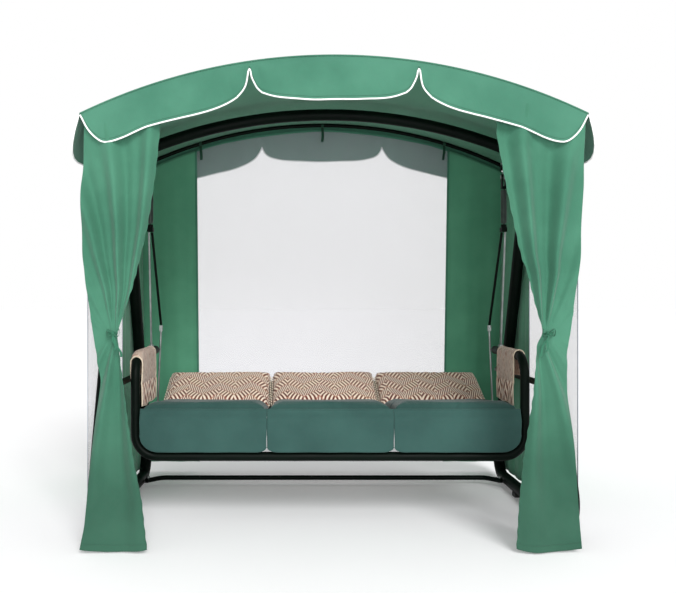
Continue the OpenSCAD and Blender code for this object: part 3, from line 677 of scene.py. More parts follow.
def build_curtain(side_name):
    side = 1 if side_name == "right" else -1
    spec = CUR[side_name]
    rows, cols = 260, 190
    broad, fine = (2.7, 7) if side > 0 else (2.4, 7)
    seed = 3 if side > 0 else 11
    u = np.linspace(0, 1, cols)
    t = np.linspace(0, 1, rows)
    P = np.zeros((rows, cols, 3))
    cut = 0.42
    z_lin = 1.768 + (0.006 - 1.768) * t
    xin = soften(curve(spec["inner"], z_lin), 5)
    xout = soften(curve(spec["outer"], z_lin), 5)
    r = np.random.RandomState(seed)
    fine_amp = 0.65 + 0.7 * r.rand(fine + 2)
    warp = u + 0.030 * np.sin(2 * math.pi * u * 1.6 + seed) + 0.015 * np.sin(2 * math.pi * u * 3.1 + 2 * seed)
    kf = np.clip(warp * fine, 0, fine)
    amp_f = np.interp(kf, np.arange(fine + 2), fine_amp)
    for i in range(rows):
        z = z_lin[i]
        a, b = xout[i], xin[i]
        up = z > TIE_Z
        dz = abs(z - TIE_Z)
        tie = math.exp(-(dz / 0.060) ** 2)
        pull = math.exp(-(dz / (0.62 if up else 0.50)) ** 1.5)
        g = 1 - (1 - u) ** (1 + 1.1 * pull)
        x = a + (b - a) * g
        # folds fan out from the knot at the inner edge and widen with distance
        inn = (a - b) * (1 - g) + 0.012
        far = dz + 0.050
        phi = np.arctan2(inn, far)
        reach = np.sqrt(inn ** 2 + far ** 2)
        if up:
            A1 = (0.0285 if side > 0 else 0.0255) * (1 - np.exp(-reach / 0.34)) * (1 - 0.45 * float(smooth((z - 1.45) / 0.30)))
            turn = 2 * math.pi * (phi / (0.235 if side > 0 else 0.205)) + (0.6 if side > 0 else 2.4)
            w1 = np.sin(turn) + 0.38 * np.sin(2 * turn + 1.2 + 0.8 * z)
            fade = 1 - 0.72 * smooth((phi - 0.40) / 0.22)
        else:
            A1 = 0.0225 * (1 - np.exp(-reach / 0.26)) * (1 - 0.40 * float(smooth((0.40 - z) / 0.35)))
            turn = 2 * math.pi * (phi / (0.300 if side > 0 else 0.270)) + (3.3 if side > 0 else 4.3)
            w1 = np.sin(turn) + 0.22 * np.sin(2 * turn + 0.7)
            fade = 1 - 0.55 * smooth((phi - 0.45) / 0.25)
        crease = 0.0032 * np.exp(-reach / 0.11) * np.sin(2 * math.pi * phi / 0.13 + seed)
        blend_in = 1 - math.exp(-(dz / 0.05) ** 2)
        bow = -0.012 * (1 - math.exp(-dz / 0.25)) * np.sin(math.pi * g) * (0.3 if up else 1.0)
        y = A1 * w1 * fade * blend_in + crease * blend_in + bow
        yc = -0.699 - TILT_FRONT * (1.800 - z)
        # puckered hem on the inner edge
        hem = smooth((u - 0.95) / 0.05)
        y = y + hem * 0.0026 * np.sin(2 * math.pi * z / 0.058 + 0.6 * math.sin(z * 9)) * (1 - tie)
        x = x + hem * 0.0016 * np.sin(2 * math.pi * z / 0.058 + 1.2) * (1 - tie)
        y = y - 0.006 * tie * np.exp(-((g - 0.90) / 0.16) ** 2)
        P[i, :, 0] = x * side
        P[i, :, 1] = yc + y
        P[i, :, 2] = z
    # the top rows rise to the arch: stretch the first rows up to the roof line
    top_x = np.abs(P[0, :, 0])
    rise = roof_z(top_x) - 0.034 - 1.768
    rise = np.clip(rise, 0, None)
    for i in range(rows):
        f = 1 - smooth((1.768 - z_lin[i]) / 0.62)
        P[i, :, 2] += rise * f
        # stay behind the valance and hang from the arch tube
    bottom = 0.012 * (2 * u - 1) ** 2
    fb = smooth((0.12 - z_lin) / 0.12)
    P[:, :, 2] += fb[:, None] * bottom[None, :]
    du = np.linspace(0, cut, cols)
    UV = np.stack([np.repeat(du[None, :], rows, 0), P[:, :, 2]], axis=2)
    ob = grid("curtain_" + side_name, P, M_CURTAIN, uv=UV, thick=0.0012, flip=side > 0)
    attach(ob, "frame")
    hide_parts("curtain_%s_upper" % side_name, "curtain_%s_lower" % side_name)
    # sewn hem cord down the inner edge
    e = P[:, -2].copy()
    e[:, 1] -= 0.0012
    hemline = tube("curtain_%s_hem" % side_name, resample(e, 0.01), 0.0016, M_CURTAIN, 6)
    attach(hemline, "frame")
    b = P[-5].copy()
    b[:, 1] -= 0.0010
    low = tube("curtain_%s_bottom_hem" % side_name, resample(b, 0.004), 0.0009, M_CURTAIN, 5)
    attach(low, "frame")


def build_tie(side_name):
    side = 1 if side_name == "right" else -1
    spec = CUR[side_name]
    z = TIE_Z
    b = float(curve(spec["inner"], [z])[0])
    bx = b + 0.019
    cx = bx * side
    yc = -0.699 - TILT_FRONT * (1.800 - z) - 0.003
    rx, ry = 0.0215, 0.0225
    n = 60
    w = np.linspace(0, 2 * math.pi, n + 1)
    rows = []
    for k, zz in enumerate(np.linspace(-0.0075, 0.0075, 7)):
        pinch = 0.0018 * math.cos(k / 6 * math.pi * 2)
        wav = 0.0010 * np.sin(w * 5 + k)
        rows.append(np.stack([cx + (rx + pinch + wav) * np.cos(w), yc + (ry + pinch + wav) * np.sin(w), z + zz + 0.004 * np.cos(w) * side], 1))
    band = grid("tie_band_" + side_name, np.array(rows), M_KNOT, thick=0.0014)
    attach(band, "frame")
    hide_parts("curtain_ties")
    # knot at the inner front
    kx, ky, kz = cx - side * (rx * 0.45), yc - ry * 0.90 - 0.004, z
    m, q = 14, 18
    V, F, U = [], [], []
    for i in range(m + 1):
        th = math.pi * i / m
        for j in range(q):
            fi = 2 * math.pi * j / q
            rr = 1 + 0.13 * math.sin(3 * fi + 2 * th) + 0.08 * math.sin(5 * th)
            V.append((kx + 0.010 * rr * math.sin(th) * math.cos(fi), ky + 0.008 * rr * math.sin(th) * math.sin(fi), kz + 0.0115 * rr * math.cos(th)))
            U.append((fi * 0.01, th * 0.01))
    for i in range(m):
        for j in range(q):
            l = (j + 1) % q
            F.append((i * q + j, i * q + l, (i + 1) * q + l, (i + 1) * q + j))
    knot = make("tie_knot_" + side_name, V, F, M_KNOT, U)
    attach(knot, "frame")
    # two loops and two tails of flat tape
    for j, (dx, dz, size) in enumerate(((-1, 0.35, 0.030), (1, 0.30, 0.034))):
        s = np.linspace(0, 1, 30)
        ang = 2 * math.pi * s
        lx = dx * size * np.sin(ang / 2) ** 1.0 * (0.9 + 0.1 * np.cos(ang))
        lz = size * 0.42 * np.sin(ang) + dz * size * np.sin(ang / 2)
        ly = -0.006 - 0.006 * np.sin(ang / 2)
        path = np.stack([kx + lx, ky + ly, kz + lz], 1)
        lp = ribbon("tie_loop_%s_%d" % (side_name, j), path, np.array([0.0, 1.0, 0.35]), np.full(30, 0.010), 0.0010, M_KNOT)
        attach(lp, "frame")
    tails = ((-side * 0.034, 0.092), (-side * 0.006, 0.070)) if side > 0 else ((0.034, 0.092), (0.012, 0.066))
    for j, (dx, ln) in enumerate(tails):
        s = np.linspace(0, 1, 24)
        path = np.stack([kx + dx * smooth(s) + 0.003 * np.sin(s * 9 + j), ky - 0.007 - 0.006 * s, kz - ln * s + 0.004 * np.sin(s * 3)], 1)
        wd = np.full(24, 0.010)
        tl = ribbon("tie_tail_%s_%d" % (side_name, j), path, np.array([0.9, 0.35, 0.15 * (1 if j else -1)]), wd, 0.0010, M_KNOT)
        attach(tl, "frame")


# ------------------------------------------------------------------ walls and nets
def wall(name, node, P, mat, thick, flip=False):
    ob = grid(name, P, mat, thick=thick, flip=flip)
    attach(ob, "frame")
    if node:
        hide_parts(node)
    return ob


def build_rear_walls():
    for side_name, side in (("left", -1), ("right", 1)):
        cols, rows = 90, 110
        xs = np.linspace(0.732, 1.0486, cols)
        zs = np.linspace(0, 1, rows)
        P = np.zeros((rows, cols, 3))
        for i, a in enumerate(zs):
            top = np.minimum(roof_z(xs) - 0.036, 1.90)
            z = top + (0.060 - top) * a
            env = smooth((xs - 0.732) / 0.03) * smooth((1.0486 - xs) / 0.03)
            amp = 0.0014 + 0.0032 * smooth(a * 1.4)
            fold = np.sin((xs - 0.732) / 0.312 * 2 * math.pi * 1.7 + 0.9 * math.sin(a * 3 + side)) + 0.25 * np.sin((xs - 0.732) / 0.312 * 2 * math.pi * 4.3 + 2 * a)
            y = 0.700 + TILT_BACK * (1.800 - z) + amp * fold * env
            P[i, :, 0] = xs * side
            P[i, :, 1] = y
            P[i, :, 2] = z
        wall("rear_panel_" + side_name, "rear_wall_" + side_name, P, M_WALL, 0.0012, flip=side < 0)
    cols, rows = 150, 110
    xs = np.linspace(-0.731, 0.731, cols)
    P = np.zeros((rows, cols, 3))
    for i, a in enumerate(np.linspace(0, 1, rows)):
        top = roof_z(xs) - 0.036
        z = top + (0.060 - top) * a
        env = smooth((0.731 - np.abs(xs)) / 0.05)
        amp = 0.0015 + 0.0045 * smooth(a * 1.3)
        fold = np.sin(xs * 16 + 1.1 * math.sin(a * 2.5)) + 0.4 * np.sin(xs * 37 + 3 * a + 1)
        scallop = 0.006 * np.abs(np.sin(xs / 0.62 * math.pi)) * (1 - smooth(a * 9))
        y = 0.700 + TILT_BACK * (1.800 - z) + amp * fold * env
        P[i, :, 0] = xs
        P[i, :, 1] = y
        P[i, :, 2] = z - scallop
    for side in (-1, 1):
        e = P[:, 0 if side < 0 else -1].copy()
        e[:, 1] -= 0.0016
        s = ribbon("net_edge_tape_%s" % ("left" if side < 0 else "right"), e, np.array([1.0, 0.0, 0.0]), np.full(len(e), 0.012), 0.0012, M_GREEN)
        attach(s, "frame")
    top_tape = P[0].copy()
    top_tape[:, 1] -= 0.0016
    s = ribbon("net_top_tape", top_tape, np.array([0.0, 0.0, 1.0]), np.full(len(top_tape), 0.014), 0.0012, M_GREEN)
    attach(s, "frame")
    wall("rear_net_sheet", "rear_net", P, M_NET, 0.0)


def build_side_walls():
    for side_name, side in (("left", -1), ("right", 1)):
        rows = 110
        # rear strip
        cols = 110
        P = np.zeros((rows, cols, 3))
        for i, a in enumerate(np.linspace(0, 1, rows)):
            z = 1.765 + (0.060 - 1.765) * a
            y1 = 0.7005 + TILT_BACK * (1.800 - z)
            ys = np.linspace(0.140, y1, cols)
            q = np.linspace(0, 1, cols)
            f = np.sin(q * 2 * math.pi * 4.5 + 0.9 * math.sin(2.7 * a + side)) + 0.3 * np.sin(q * 2 * math.pi * 10 + 4 * a)
            env = smooth(q / 0.08) * smooth((1 - q) / 0.08)
            P[i, :, 0] = side * (1.0482 - 0.0075 * (0.35 + 0.65 * a) * (0.5 + 0.45 * f) * env)
            P[i, :, 1] = ys
            P[i, :, 2] = z
        wall("side_panel_" + side_name, "side_wall_" + side_name, P, M_WALL, 0.0012,
             flip=side < 0)
        # net
        cols = 80
        P = np.zeros((rows, cols, 3))
        q = np.linspace(0, 1, cols)
        for i, a in enumerate(np.linspace(0, 1, rows)):
            z = 1.765 + (0.060 - 1.765) * a
            ys = np.linspace(-0.606, 0.140, cols)
            f = np.sin(q * 2 * math.pi * 3.5 + 1.2 * math.sin(2.2 * a))
            env = smooth(q / 0.1) * smooth((1 - q) / 0.1)
            P[i, :, 0] = side * (1.0480 - 0.004 * (0.4 + 0.6 * a) * (0.5 + 0.5 * f) * env)
            P[i, :, 1] = ys
            P[i, :, 2] = z
        for j in (0, -1):
            e = P[:, j].copy()
            e[:, 0] -= side * 0.0014
            s = ribbon("side_net_tape_%s_%d" % (side_name, j + 1), e, np.array([0.0, 1.0, 0.0]), np.full(rows, 0.012), 0.0012, M_TAPE)
            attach(s, "frame")
        wall("side_net_sheet_" + side_name, "side_net_" + side_name, P, M_NET, 0.0,
             flip=side < 0)


def build_net_ties():
    first = True
    for i, x in enumerate((-0.700, 0.0, 0.700)):
        zc = ARC_Z0 + math.sqrt(2.403375 ** 2 - x * x)
        yc = 0.655
        # loop round the arch tube, then a hanging tail
        w = np.linspace(math.radians(-70), math.radians(250), 34)
        loop = np.stack([np.full(34, x), yc + 0.0119 * np.cos(w), zc - 0.0007 + 0.0112 * np.sin(w)], 1)
        ob = ribbon("net_tie_loop_%d" % i, loop, np.array([1.0, 0.0, 0.0]), np.full(34, 0.014), 0.0010, M_TIE)
        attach(ob, "frame")
        s = np.linspace(0, 1, 26)
        tail = np.stack([x + 0.006 * np.sin(s * 2.6 + i) * s, yc + 0.006 - 0.002 * np.sin(3 * s), zc - 0.0125 - 0.080 * s], 1)
        tl = ribbon("net_tie_tail_%d" % i, tail, np.array([0.95, 0.25, 0.0]), np.full(26, 0.0150), 0.0012, M_TIE)
        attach(tl, "frame")
        if first:
            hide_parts("net_ties")
            first = False


# ------------------------------------------------------------------ springs
def build_springs():
    for side_name, side in (("left", -1), ("right", 1)):
        turns, per = 43, 18
        n = turns * per + 1
        s = np.linspace(0, 1, n)
        ang = 2 * math.pi * turns * s
        r = 0.0129 * np.ones(n)
        endf = smooth(np.minimum(s, 1 - s) / 0.035)
        r = 0.0050 + (r - 0.0050) * endf
        z = 1.4035 + (1.5745 - 1.4035) * s
        path = np.stack([side * 0.880 + r * np.cos(ang), r * np.sin(ang), z], 1)
        ob = tube("hanger_coil_" + side_name, path, 0.00185, M_SPRING, 8)
        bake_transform(ob)
        if side < 0:
            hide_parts("hanger_springs")


# ------------------------------------------------------------------ cushions
def rounded_block(w, d, t, rxy, rz, nx=34, ny=34, nz=7):
    """Closed block, x centred, y from 0, top at z = 0, with rounded corners and edges."""
    V, F = [], []
    index = {}

    def vid(i, j, k):
        key = (i, j, k)
        if key not in index:
            x = -1 + 2 * i / nx
            y = -1 + 2 * j / ny
            z = -1 + 2 * k / nz
            index[key] = len(V)
            V.append((x, y, z))
        return index[key]
    for i in range(nx):
        for j in range(ny):
            F.append((vid(i, j, nz), vid(i + 1, j, nz), vid(i + 1, j + 1, nz), vid(i, j + 1, nz)))
            F.append((vid(i, j, 0), vid(i, j + 1, 0), vid(i + 1, j + 1, 0), vid(i + 1, j, 0)))
    for i in range(nx):
        for k in range(nz):
            F.append((vid(i, 0, k), vid(i + 1, 0, k), vid(i + 1, 0, k + 1), vid(i, 0, k + 1)))
            F.append((vid(i, ny, k), vid(i, ny, k + 1), vid(i + 1, ny, k + 1), vid(i + 1, ny, k)))
    for j in range(ny):
        for k in range(nz):
            F.append((vid(0, j, k), vid(0, j, k + 1), vid(0, j + 1, k + 1), vid(0, j + 1, k)))
            F.append((vid(nx, j, k), vid(nx, j + 1, k), vid(nx, j + 1, k + 1), vid(nx, j, k + 1)))
    Q = np.array(V)
    x, y, z = Q[:, 0] * w / 2, Q[:, 1] * d / 2, Q[:, 2] * t / 2
    # round the vertical corners and the horizontal edges
    cx = np.clip(x, -(w / 2 - rxy), w / 2 - rxy)
    cy = np.clip(y, -(d / 2 - rxy), d / 2 - rxy)
    dx, dy = x - cx, y - cy
    cheb = np.maximum(np.abs(dx), np.abs(dy))
    eu = np.sqrt(dx * dx + dy * dy) + 1e-12
    f = cheb / eu
    x, y = cx + dx * f, cy + dy * f
    edge = 1 - np.maximum(np.abs(Q[:, 0]) * 0, 0)
    rim_in = np.minimum(w / 2 - np.abs(x), d / 2 - np.abs(y))
    zz = np.abs(z)
    over = np.clip((rz - rim_in) / rz, 0, 1)
    lift = rz * (1 - np.sqrt(np.clip(1 - over ** 2, 0, 1)))
    z = np.sign(z) * np.minimum(zz, t / 2 - lift * (zz / (t / 2)))
    y = y + d / 2
    z = z - t / 2
    return np.stack([x, y, z], 1), F


def cushion_mesh(name, w, d, t, cap, voxel, seed):
    V, F = rounded_block(w - 0.006, d - 0.010, t - 0.004, 0.016, 0.012)
    V[:, 1] += 0.005
    V[:, 2] -= 0.001
    me = bpy.data.meshes.new(name + "_base")
    me.from_pydata([tuple(v) for v in V], [], F)
    me.update()
    ob = bpy.data.objects.new(name + "_base", me)
    bpy.context.scene.collection.objects.link(ob)
    mod = ob.modifiers.new("r", "REMESH")
    mod.mode = "VOXEL"
    mod.voxel_size = voxel
    bake(ob)
    n = len(ob.data.vertices)
    before = np.empty(n * 3)
    ob.data.vertices.foreach_get("co", before)
    before = before.reshape(-1, 3)
    cl = ob.modifiers.new("cloth", "CLOTH")
    st = cl.settings
    st.quality = 5
    st.mass = 0.3
    st.tension_stiffness = 18
    st.compression_stiffness = 18
    st.shear_stiffness = 8
    st.bending_stiffness = 2.5
    st.use_pressure = True
    st.uniform_pressure_force = 1.2
    st.effector_weights.gravity = 0.0
    cl.collision_settings.use_collision = False
    cl.collision_settings.use_self_collision = False
    cl.point_cache.frame_start = 1
    cl.point_cache.frame_end = 20
    for f in range(1, 21):
        bpy.context.scene.frame_set(f)
    dg = bpy.context.evaluated_depsgraph_get()
    ev = ob.evaluated_get(dg)
    after = np.empty(len(ev.data.vertices) * 3)
    ev.data.vertices.foreach_get("co", after)
    after = after.reshape(-1, 3)
    ob.modifiers.clear()
    bpy.context.scene.frame_set(1)
    if len(after) != n:
        after = before
    delta = after - before
    m = np.linalg.norm(delta, axis=1)
    move = delta * np.minimum(1, cap / np.maximum(m, 1e-9))[:, None]
    P = before + move
    # crown and pulled-in sides shared by both ways
    un = (P[:, 0]) / (w / 2)
    vn = (P[:, 1] - d / 2) / (d / 2)
    top = smooth((P[:, 2] + t * 0.5) / (t * 0.5))
    eu, ev, want = (16.0, 12.0, 0.027) if name == "seat" else (16.0, 12.0, 0.020)
    dome = np.clip(1 - np.abs(un) ** eu, 0, 1) * np.clip(1 - np.abs(vn) ** ev, 0, 1)
    have = np.percentile(P[:, 2], 99.5)
    add = np.clip(want - max(have, 0), 0, want)
    P[:, 2] += top * dome * add
    r = np.random.RandomState(seed)
    # soft puckers running in from the edge seam
    ed = np.clip(1 - np.minimum(w / 2 - np.abs(P[:, 0]), np.minimum(P[:, 1], d - P[:, 1])) / 0.07, 0, 1)
    along = np.where(np.abs(un) > np.abs(vn), P[:, 1], P[:, 0])
    P[:, 2] += top * 0.0018 * ed * np.sin(along * 2 * math.pi / 0.047 + 2 * np.sin(along * 11 + seed))
    P[:, 2] += top * dome * 0.0022 * (np.sin(P[:, 0] * 13 + seed) * np.sin(P[:, 1] * 11 + 1.3))
    # pinched edge seam at mid height
    midz = -t * 0.46
    sq = np.exp(-((P[:, 2] - midz) / 0.0045) ** 2)
    ctr = np.array([0, d / 2])
    rim = smooth((np.maximum(np.abs(un), np.abs(vn)) - 0.93) / 0.07)
    P[:, 0] -= np.sign(P[:, 0]) * 0.0035 * sq * rim
    P[:, 1] -= np.sign(P[:, 1] - d / 2) * 0.0035 * sq * rim
    # soft limits so that neighbours and slats stay clear
    lim = w / 2 + 0.0028
    ax = np.abs(P[:, 0])
    P[:, 0] = np.sign(P[:, 0]) * np.where(ax > lim - 0.006, lim - 0.006 + 0.006 * np.tanh((ax - lim + 0.006) / 0.006), ax)
    P[:, 1] = np.where(P[:, 1] < 0.004, 0.004 - 0.005 * np.tanh((0.004 - P[:, 1]) / 0.005), P[:, 1])
    P[:, 1] = np.where(P[:, 1] > d - 0.004, d - 0.004 + 0.005 * np.tanh((P[:, 1] - d + 0.004) / 0.005), P[:, 1])
    P[:, 2] = np.where(P[:, 2] < -t + 0.003, -t + 0.003 - 0.0025 * np.tanh((-t + 0.003 - P[:, 2]) / 0.0025), P[:, 2])
    ob.data.vertices.foreach_set("co", P.astype(np.float32).ravel())
    ob.data.update()
    sub = ob.modifiers.new("s", "SUBSURF")
    sub.levels = 1
    sub.render_levels = 1
    bake(ob)
    nn = len(ob.data.vertices)
    co = np.empty(nn * 3)
    ob.data.vertices.foreach_get("co", co)
    co = co.reshape(-1, 3)
    faces = [tuple(p.vertices) for p in ob.data.polygons]
    bpy.data.objects.remove(ob)
    return co, faces


def seam_path(w, d, r, z):
    """Rounded rectangle for the edge welt."""
    pts = []
    for (cx, cy, a0) in ((w / 2 - r, d - r, 0), (-w / 2 + r, d - r, 90), (-w / 2 + r, r, 180), (w / 2 - r, r, 270)):
        for k in range(9):
            a = math.radians(a0 + 90 * k / 8)
            pts.append((cx + r * math.cos(a), cy + r * math.sin(a), z))
    pts.append(pts[0])
    p = resample(np.array(pts), 0.012)
    return p[:-1]


def place(co, origin, angle, dx):
    c, s = math.cos(angle), math.sin(angle)
    out = np.empty_like(co)
    out[:, 0] = co[:, 0] + dx
    out[:, 1] = origin[0] + co[:, 1] * c - co[:, 2] * s
    out[:, 2] = origin[1] + co[:, 1] * s + co[:, 2] * c
    return out


def build_cushions(kind, w, d, t, origin, angle, body, cap, voxel, zoff):
    co, faces = cushion_mesh(kind, w, d, t, cap, voxel, 5 if kind == "seat" else 8)
    for i, (nm, dx) in enumerate((("left", -0.578), ("middle", 0.0), ("right", 0.578))):
        c = co.copy()
        # each cushion is plumped a little differently
        c[:, 2] += smooth((c[:, 2] + t * 0.5) / (t * 0.5)) * 0.0025 * np.sin(c[:, 0] * (9 + 3 * i) + i * 2) * np.sin(c[:, 1] * (8 + 2 * i) + i)
        flip = -1 if nm == "right" else 1
        c[:, 0] *= flip
        fcs = [f[::-1] for f in faces] if flip < 0 else faces
        side = np.clip(-c[:, 2], 0, t)
        sx = smooth((np.abs(c[:, 0]) / (w / 2) - 0.95) / 0.05) * np.sign(c[:, 0])
        sy = np.where(c[:, 1] < 0.02, -1.0, np.where(c[:, 1] > d - 0.02, 1.0, 0.0))
        uv = np.stack([c[:, 0] + sx * side + 0.037 * i, c[:, 1] + sy * side + 0.021 * i], 1)
        if kind == "back":
            uv[:, 0] += 0.075
        P = place(c + np.array([0, 0, zoff]), origin, angle, dx)
        ob = make("%s_pad_%s" % (kind, nm), P, fcs, M_TEAL if kind == "seat" else M_PATTERN, uv)
        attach(ob, body)
        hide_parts("%s_cushion_%s" % (kind, nm))
        sp = seam_path(w - 0.0035, d - 0.001, 0.030, -t * 0.46 + zoff)
        welt = tube("%s_welt_%s" % (kind, nm), place(sp, origin, angle, dx), 0.0030, M_TEAL if kind == "seat" else M_STRIPE, 8, closed=True)
        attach(welt, body)


# ------------------------------------------------------------------ flounce
def build_flounce():
    pieces = []
    first = None
    for i, (nm, dx) in enumerate((("left", -0.578), ("middle", 0.0), ("right", 0.578))):
        w = 0.5776
        xs = np.linspace(-w / 2, w / 2, 104)
        rows = 40
        # lower edge: wide rounding at the outer ends, small at the divisions
        low = np.full_like(xs, 0.3355)
        for sg in (-1, 1):
            end = (i == 0 and sg < 0) or (i == 2 and sg > 0)
            rx, rz = (0.085, 0.075) if end else (0.050, 0.022)
            q = np.clip((sg * xs - (w / 2 - rx)) / rx, 0, 1)
            low = low + rz * (1 - np.sqrt(np.clip(1 - q ** 2, 0, 1)))
        P = np.zeros((rows, len(xs), 3))
        top = 0.5235
        for k in range(rows):
            a = k / (rows - 1)
            z = top + (low - top) * a
            depth = top - z
            wave = 0.0026 * np.sin(xs * 26 + i * 1.7 + 1.2 * np.sin(xs * 9)) * smooth(depth / 0.15)
            gather = 0.0008 * np.sin(xs * 150 + i) * np.exp(-depth / 0.02)
            belly = 0.0035 * np.sin(math.pi * np.clip(depth / 0.2, 0, 1)) * np.cos(xs / w * math.pi)
            back = 0.019 * (1 - smooth(depth / 0.046)) + 0.0022 * np.sin(xs * 41 + i) * np.exp(-((depth - 0.036) / 0.014) ** 2)
            P[k, :, 0] = xs * (1 - 0.0050 * float(smooth((0.420 - top + (top - 0.3355) * a) / 0.06))) + dx
            P[k, :, 1] = -0.3825 - wave - belly - gather + back
            P[k, :, 2] = z
        uv = np.stack([P[:, :, 0], P[:, :, 2]], axis=2)
        ob = grid("flounce_" + nm, P, M_TEAL, uv=uv, thick=0.0018)
        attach(ob, "seat")
        if i == 0:
            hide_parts("seat_valance")
        # rolled top band
        tp = np.stack([xs + dx, np.full_like(xs, -0.3600), np.full_like(xs, 0.5245)], 1)
        roll = tube("flounce_roll_" + nm, resample(tp, 0.008), 0.0042, M_TEAL, 12)
        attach(roll, "seat")
        hem = P[-1].copy()
        hm = tube("flounce_hem_" + nm, resample(hem, 0.006), 0.0020, M_TEAL, 8)
        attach(hm, "seat")


# ------------------------------------------------------------------ armrest covers
def build_covers():
    for side_name, side in (("left", -1), ("right", 1)):
        # profile from the inner flap, over the arm, to the outer flap (distance from centre, height)
        R = 0.0262
        cx, cz = 0.890, 0.764
        prof = []
        for z in np.linspace(0.533, cz, 46):
            prof.append((cx - R + 0.0006 * math.sin(z * 30), z))
        for a in np.linspace(180, 0, 26)[1:-1]:
            prof.append((cx + R * math.cos(math.radians(a)), cz + R * math.sin(math.radians(a))))
        for z in np.linspace(cz, 0.662, 26):
            prof.append((cx + R, z))
        prof = np.array(prof)
        s = np.r_[0, np.cumsum(np.linalg.norm(np.diff(prof, axis=0), axis=1))]
        y_front = -0.318 if side < 0 else -0.245
        ys = np.linspace(y_front, 0.065, 78)
        P = np.zeros((len(prof), len(ys), 3))
        for j, y in enumerate(ys):
            q = (y - y_front) / (0.065 - y_front)
            droop = 0.1 - math.sqrt(max(0.01 - min(y + 0.25, 0.0) ** 2, 0.0))
            # elastic line on the inner flap at z 0.643, pleats under it
            below = smooth((0.646 - prof[:, 1]) / 0.03) * (prof[:, 0] < cx)
            pinch = np.exp(-((prof[:, 1] - 0.640) / 0.006) ** 2) * (prof[:, 0] < cx)
            pleat = 0.0042 * np.sin(2 * math.pi * y / 0.0205 + 0.7 * math.sin(y * 40)) * below
            wr = 0.0012 * np.sin(18 * y * 3 + prof[:, 1] * 25) * (np.abs(prof[:, 0] - cx) > R * 0.9)
            outw = 0.0016 * np.sin(y * 60 + 1) * smooth((0.76 - prof[:, 1]) / 0.08) * (prof[:, 0] > cx)
            shift = np.where(prof[:, 0] < cx, -(wr + pleat * 0.5), wr + outw)
            P[:, j, 0] = side * (prof[:, 0] + shift + pinch * 0.002 + np.where(prof[:, 0] < cx, 0.0008, 0))
            flare = 0.004 * (2 * q - 1) * smooth((0.72 - prof[:, 1]) / 0.12) * (prof[:, 0] < cx)
            P[:, j, 1] = y + flare + 0.0025 * np.sin(prof[:, 1] * 22 + j * 0.0)
            P[:, j, 2] = prof[:, 1] - droop * smooth((prof[:, 1] - 0.66) / 0.08) + np.where(prof[:, 0] < cx, 0.003 * np.sin(y * 36) * smooth((0.60 - prof[:, 1]) / 0.05), 0.002 * np.sin(y * 30) * smooth((0.70 - prof[:, 1]) / 0.04))
        U = np.repeat(ys[None, :], len(prof), 0) * 1.5
        V = np.repeat(s[:, None], len(ys), 1) * 0.6
        ob = grid("arm_cover_" + side_name, P, M_PATTERN, uv=np.stack([U, V], 2), thick=0.0026, flip=side > 0)
        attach(ob, "seat")
        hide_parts("armrest_cover_" + side_name)
        for nm, j in (("front", 0), ("rear", -1)):
            e = P[:, j].copy()
            h = tube("cover_hem_%s_%s" % (nm, side_name), resample(e, 0.005), 0.0030, M_CREAM, 8)
            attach(h, "seat")
        e = P[0].copy()
        h = tube("cover_hem_low_%s" % side_name, resample(e, 0.005), 0.0022, M_CREAM, 6)
        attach(h, "seat")


# ------------------------------------------------------------------ build everything
build_cushions("seat", 0.572, 0.585, 0.070, (-0.350, 0.535), math.radians(-5.7), "seat", 0.014, 0.0085, 0.0)
build_cushions("back", 0.572, 0.366, 0.058, (0.265, 0.462), math.radians(22), "backrest", 0.014, 0.0085, 0.020)
build_roof()
build_valance("front_skirt", "front_valance", -1, 0.010, 0.3, VAL_EDGE)
build_valance("rear_skirt", "rear_valance", 1, 0.008, 2.1, REAR_EDGE)
build_side_valance("left_skirt", "left_valance", -1)
build_side_valance("right_skirt", "right_valance", 1)
build_edge_piping()
for s in ("left", "right"):
    build_curtain(s)
for s in ("left", "right"):
    build_tie(s)
build_rear_walls()
build_side_walls()
build_net_ties()
build_springs()
build_flounce()
build_covers()

# ------------------------------------------------------------------ stage, light, camera
floor = make("floor", [(-60, -30, 0), (60, -30, 0), (60, 90, 0), (-60, 90, 0)], [(0, 1, 2, 3)], M_PIPING, [(0, 0), (1, 0), (1, 1), (0, 1)], False)
ft = Tree("floor_mat")
fn = ft.noise(ft.coord("Object"), 2.0, 3.0)
ft.put(ft.bsdf.inputs["Base Color"], ft.mix(fn, (0.93, 0.93, 0.935, 1), (0.96, 0.96, 0.965, 1)))
ft.bsdf.inputs["Roughness"].default_value = 0.9
ft.bsdf.inputs["Specular IOR Level"].default_value = 0.1
# painted light: the floor glows, emission 0.10 everywhere and rising by up to 0.05 with distance from the swing
# beyond 0.9 m, so the floor away from the swing reads white around the shade beneath it
fp = ft.split(ft.coord("Object"))
far = ft.m("SQRT", ft.m("ADD", ft.m("MULTIPLY", fp[0], fp[0]), ft.m("MULTIPLY", fp[1], fp[1])))
lift = ft.m("MULTIPLY", ft.m("SUBTRACT", far, 0.9), 0.55, clamp=True)
ft.bsdf.inputs["Emission Color"].default_value = (1.0, 1.0, 1.0, 1.0)
ft.put(ft.bsdf.inputs["Emission Strength"], ft.m("ADD", ft.m("MULTIPLY", lift, 0.05), 0.10))
floor.data.materials.clear()
floor.data.materials.append(ft.mat)

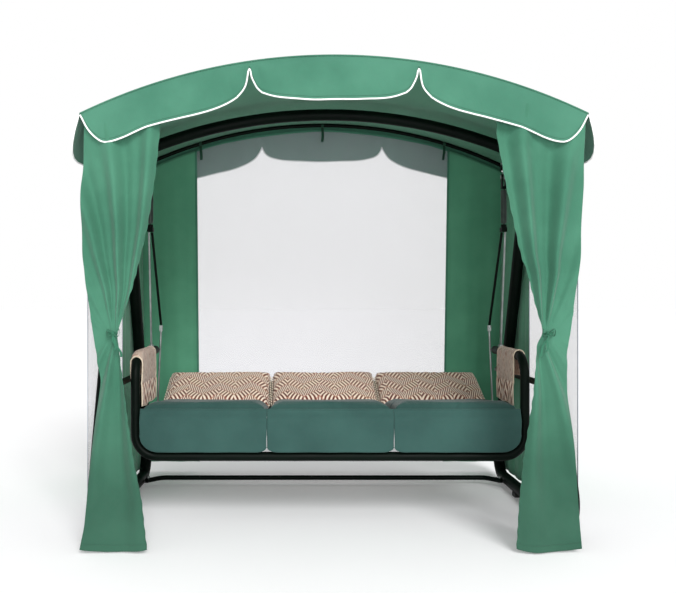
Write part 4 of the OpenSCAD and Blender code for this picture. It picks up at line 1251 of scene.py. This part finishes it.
world = bpy.data.worlds.new("studio")
bpy.context.scene.world = world
world.use_nodes = True
wt = world.node_tree
bg = wt.nodes["Background"]
bg.inputs[0].default_value = (1.0, 1.0, 1.0, 1.0)
bg.inputs[1].default_value = 0.56
seen = wt.nodes.new("ShaderNodeBackground")
seen.inputs[0].default_value = (1.0, 1.0, 1.0, 1.0)
seen.inputs[1].default_value = 1.0
rays = wt.nodes.new("ShaderNodeLightPath")
both = wt.nodes.new("ShaderNodeMixShader")
wt.links.new(rays.outputs["Is Camera Ray"], both.inputs[0])
wt.links.new(bg.outputs[0], both.inputs[1])
wt.links.new(seen.outputs[0], both.inputs[2])
wt.links.new(both.outputs[0], wt.nodes["World Output"].inputs[0])


def area(name, loc, target, size, power, color=(1, 1, 1)):
    l = bpy.data.lights.new(name, "AREA")
    l.shape = "RECTANGLE"
    l.size, l.size_y = size
    l.energy = power
    l.color = color
    o = bpy.data.objects.new(name, l)
    bpy.context.scene.collection.objects.link(o)
    o.location = loc
    o.rotation_mode = "QUATERNION"
    o.rotation_quaternion = (Vector(target) - Vector(loc)).to_track_quat("-Z", "Y")
    return o


sun = bpy.data.lights.new("sun", "SUN")
sun.energy = 2.2
sun.angle = math.radians(26)
sun_ob = bpy.data.objects.new("sun", sun)
bpy.context.scene.collection.objects.link(sun_ob)
sun_ob.rotation_mode = "QUATERNION"
sun_ob.rotation_quaternion = Vector((-0.40, 1.50, -1.0)).to_track_quat("-Z", "Y")
area("fill", (0.3, -6.0, 1.3), (0, 0.6, 1.1), (3.2, 1.8), 120)

bpy.context.scene.view_settings.view_transform = "Standard"
bpy.context.scene.view_settings.look = "None"

cam = bpy.data.cameras.new("camera")
cam.lens = 45.5
cam.sensor_width = 36
cam.shift_x = 0.0673
cam.shift_y = 0.005
cam.clip_end = 300
camera = bpy.data.objects.new("camera", cam)
bpy.context.scene.collection.objects.link(camera)
camera.location = (-0.172, -4.255, 1.025)
camera.rotation_euler = (math.radians(90), 0, 0)
bpy.context.scene.camera = camera
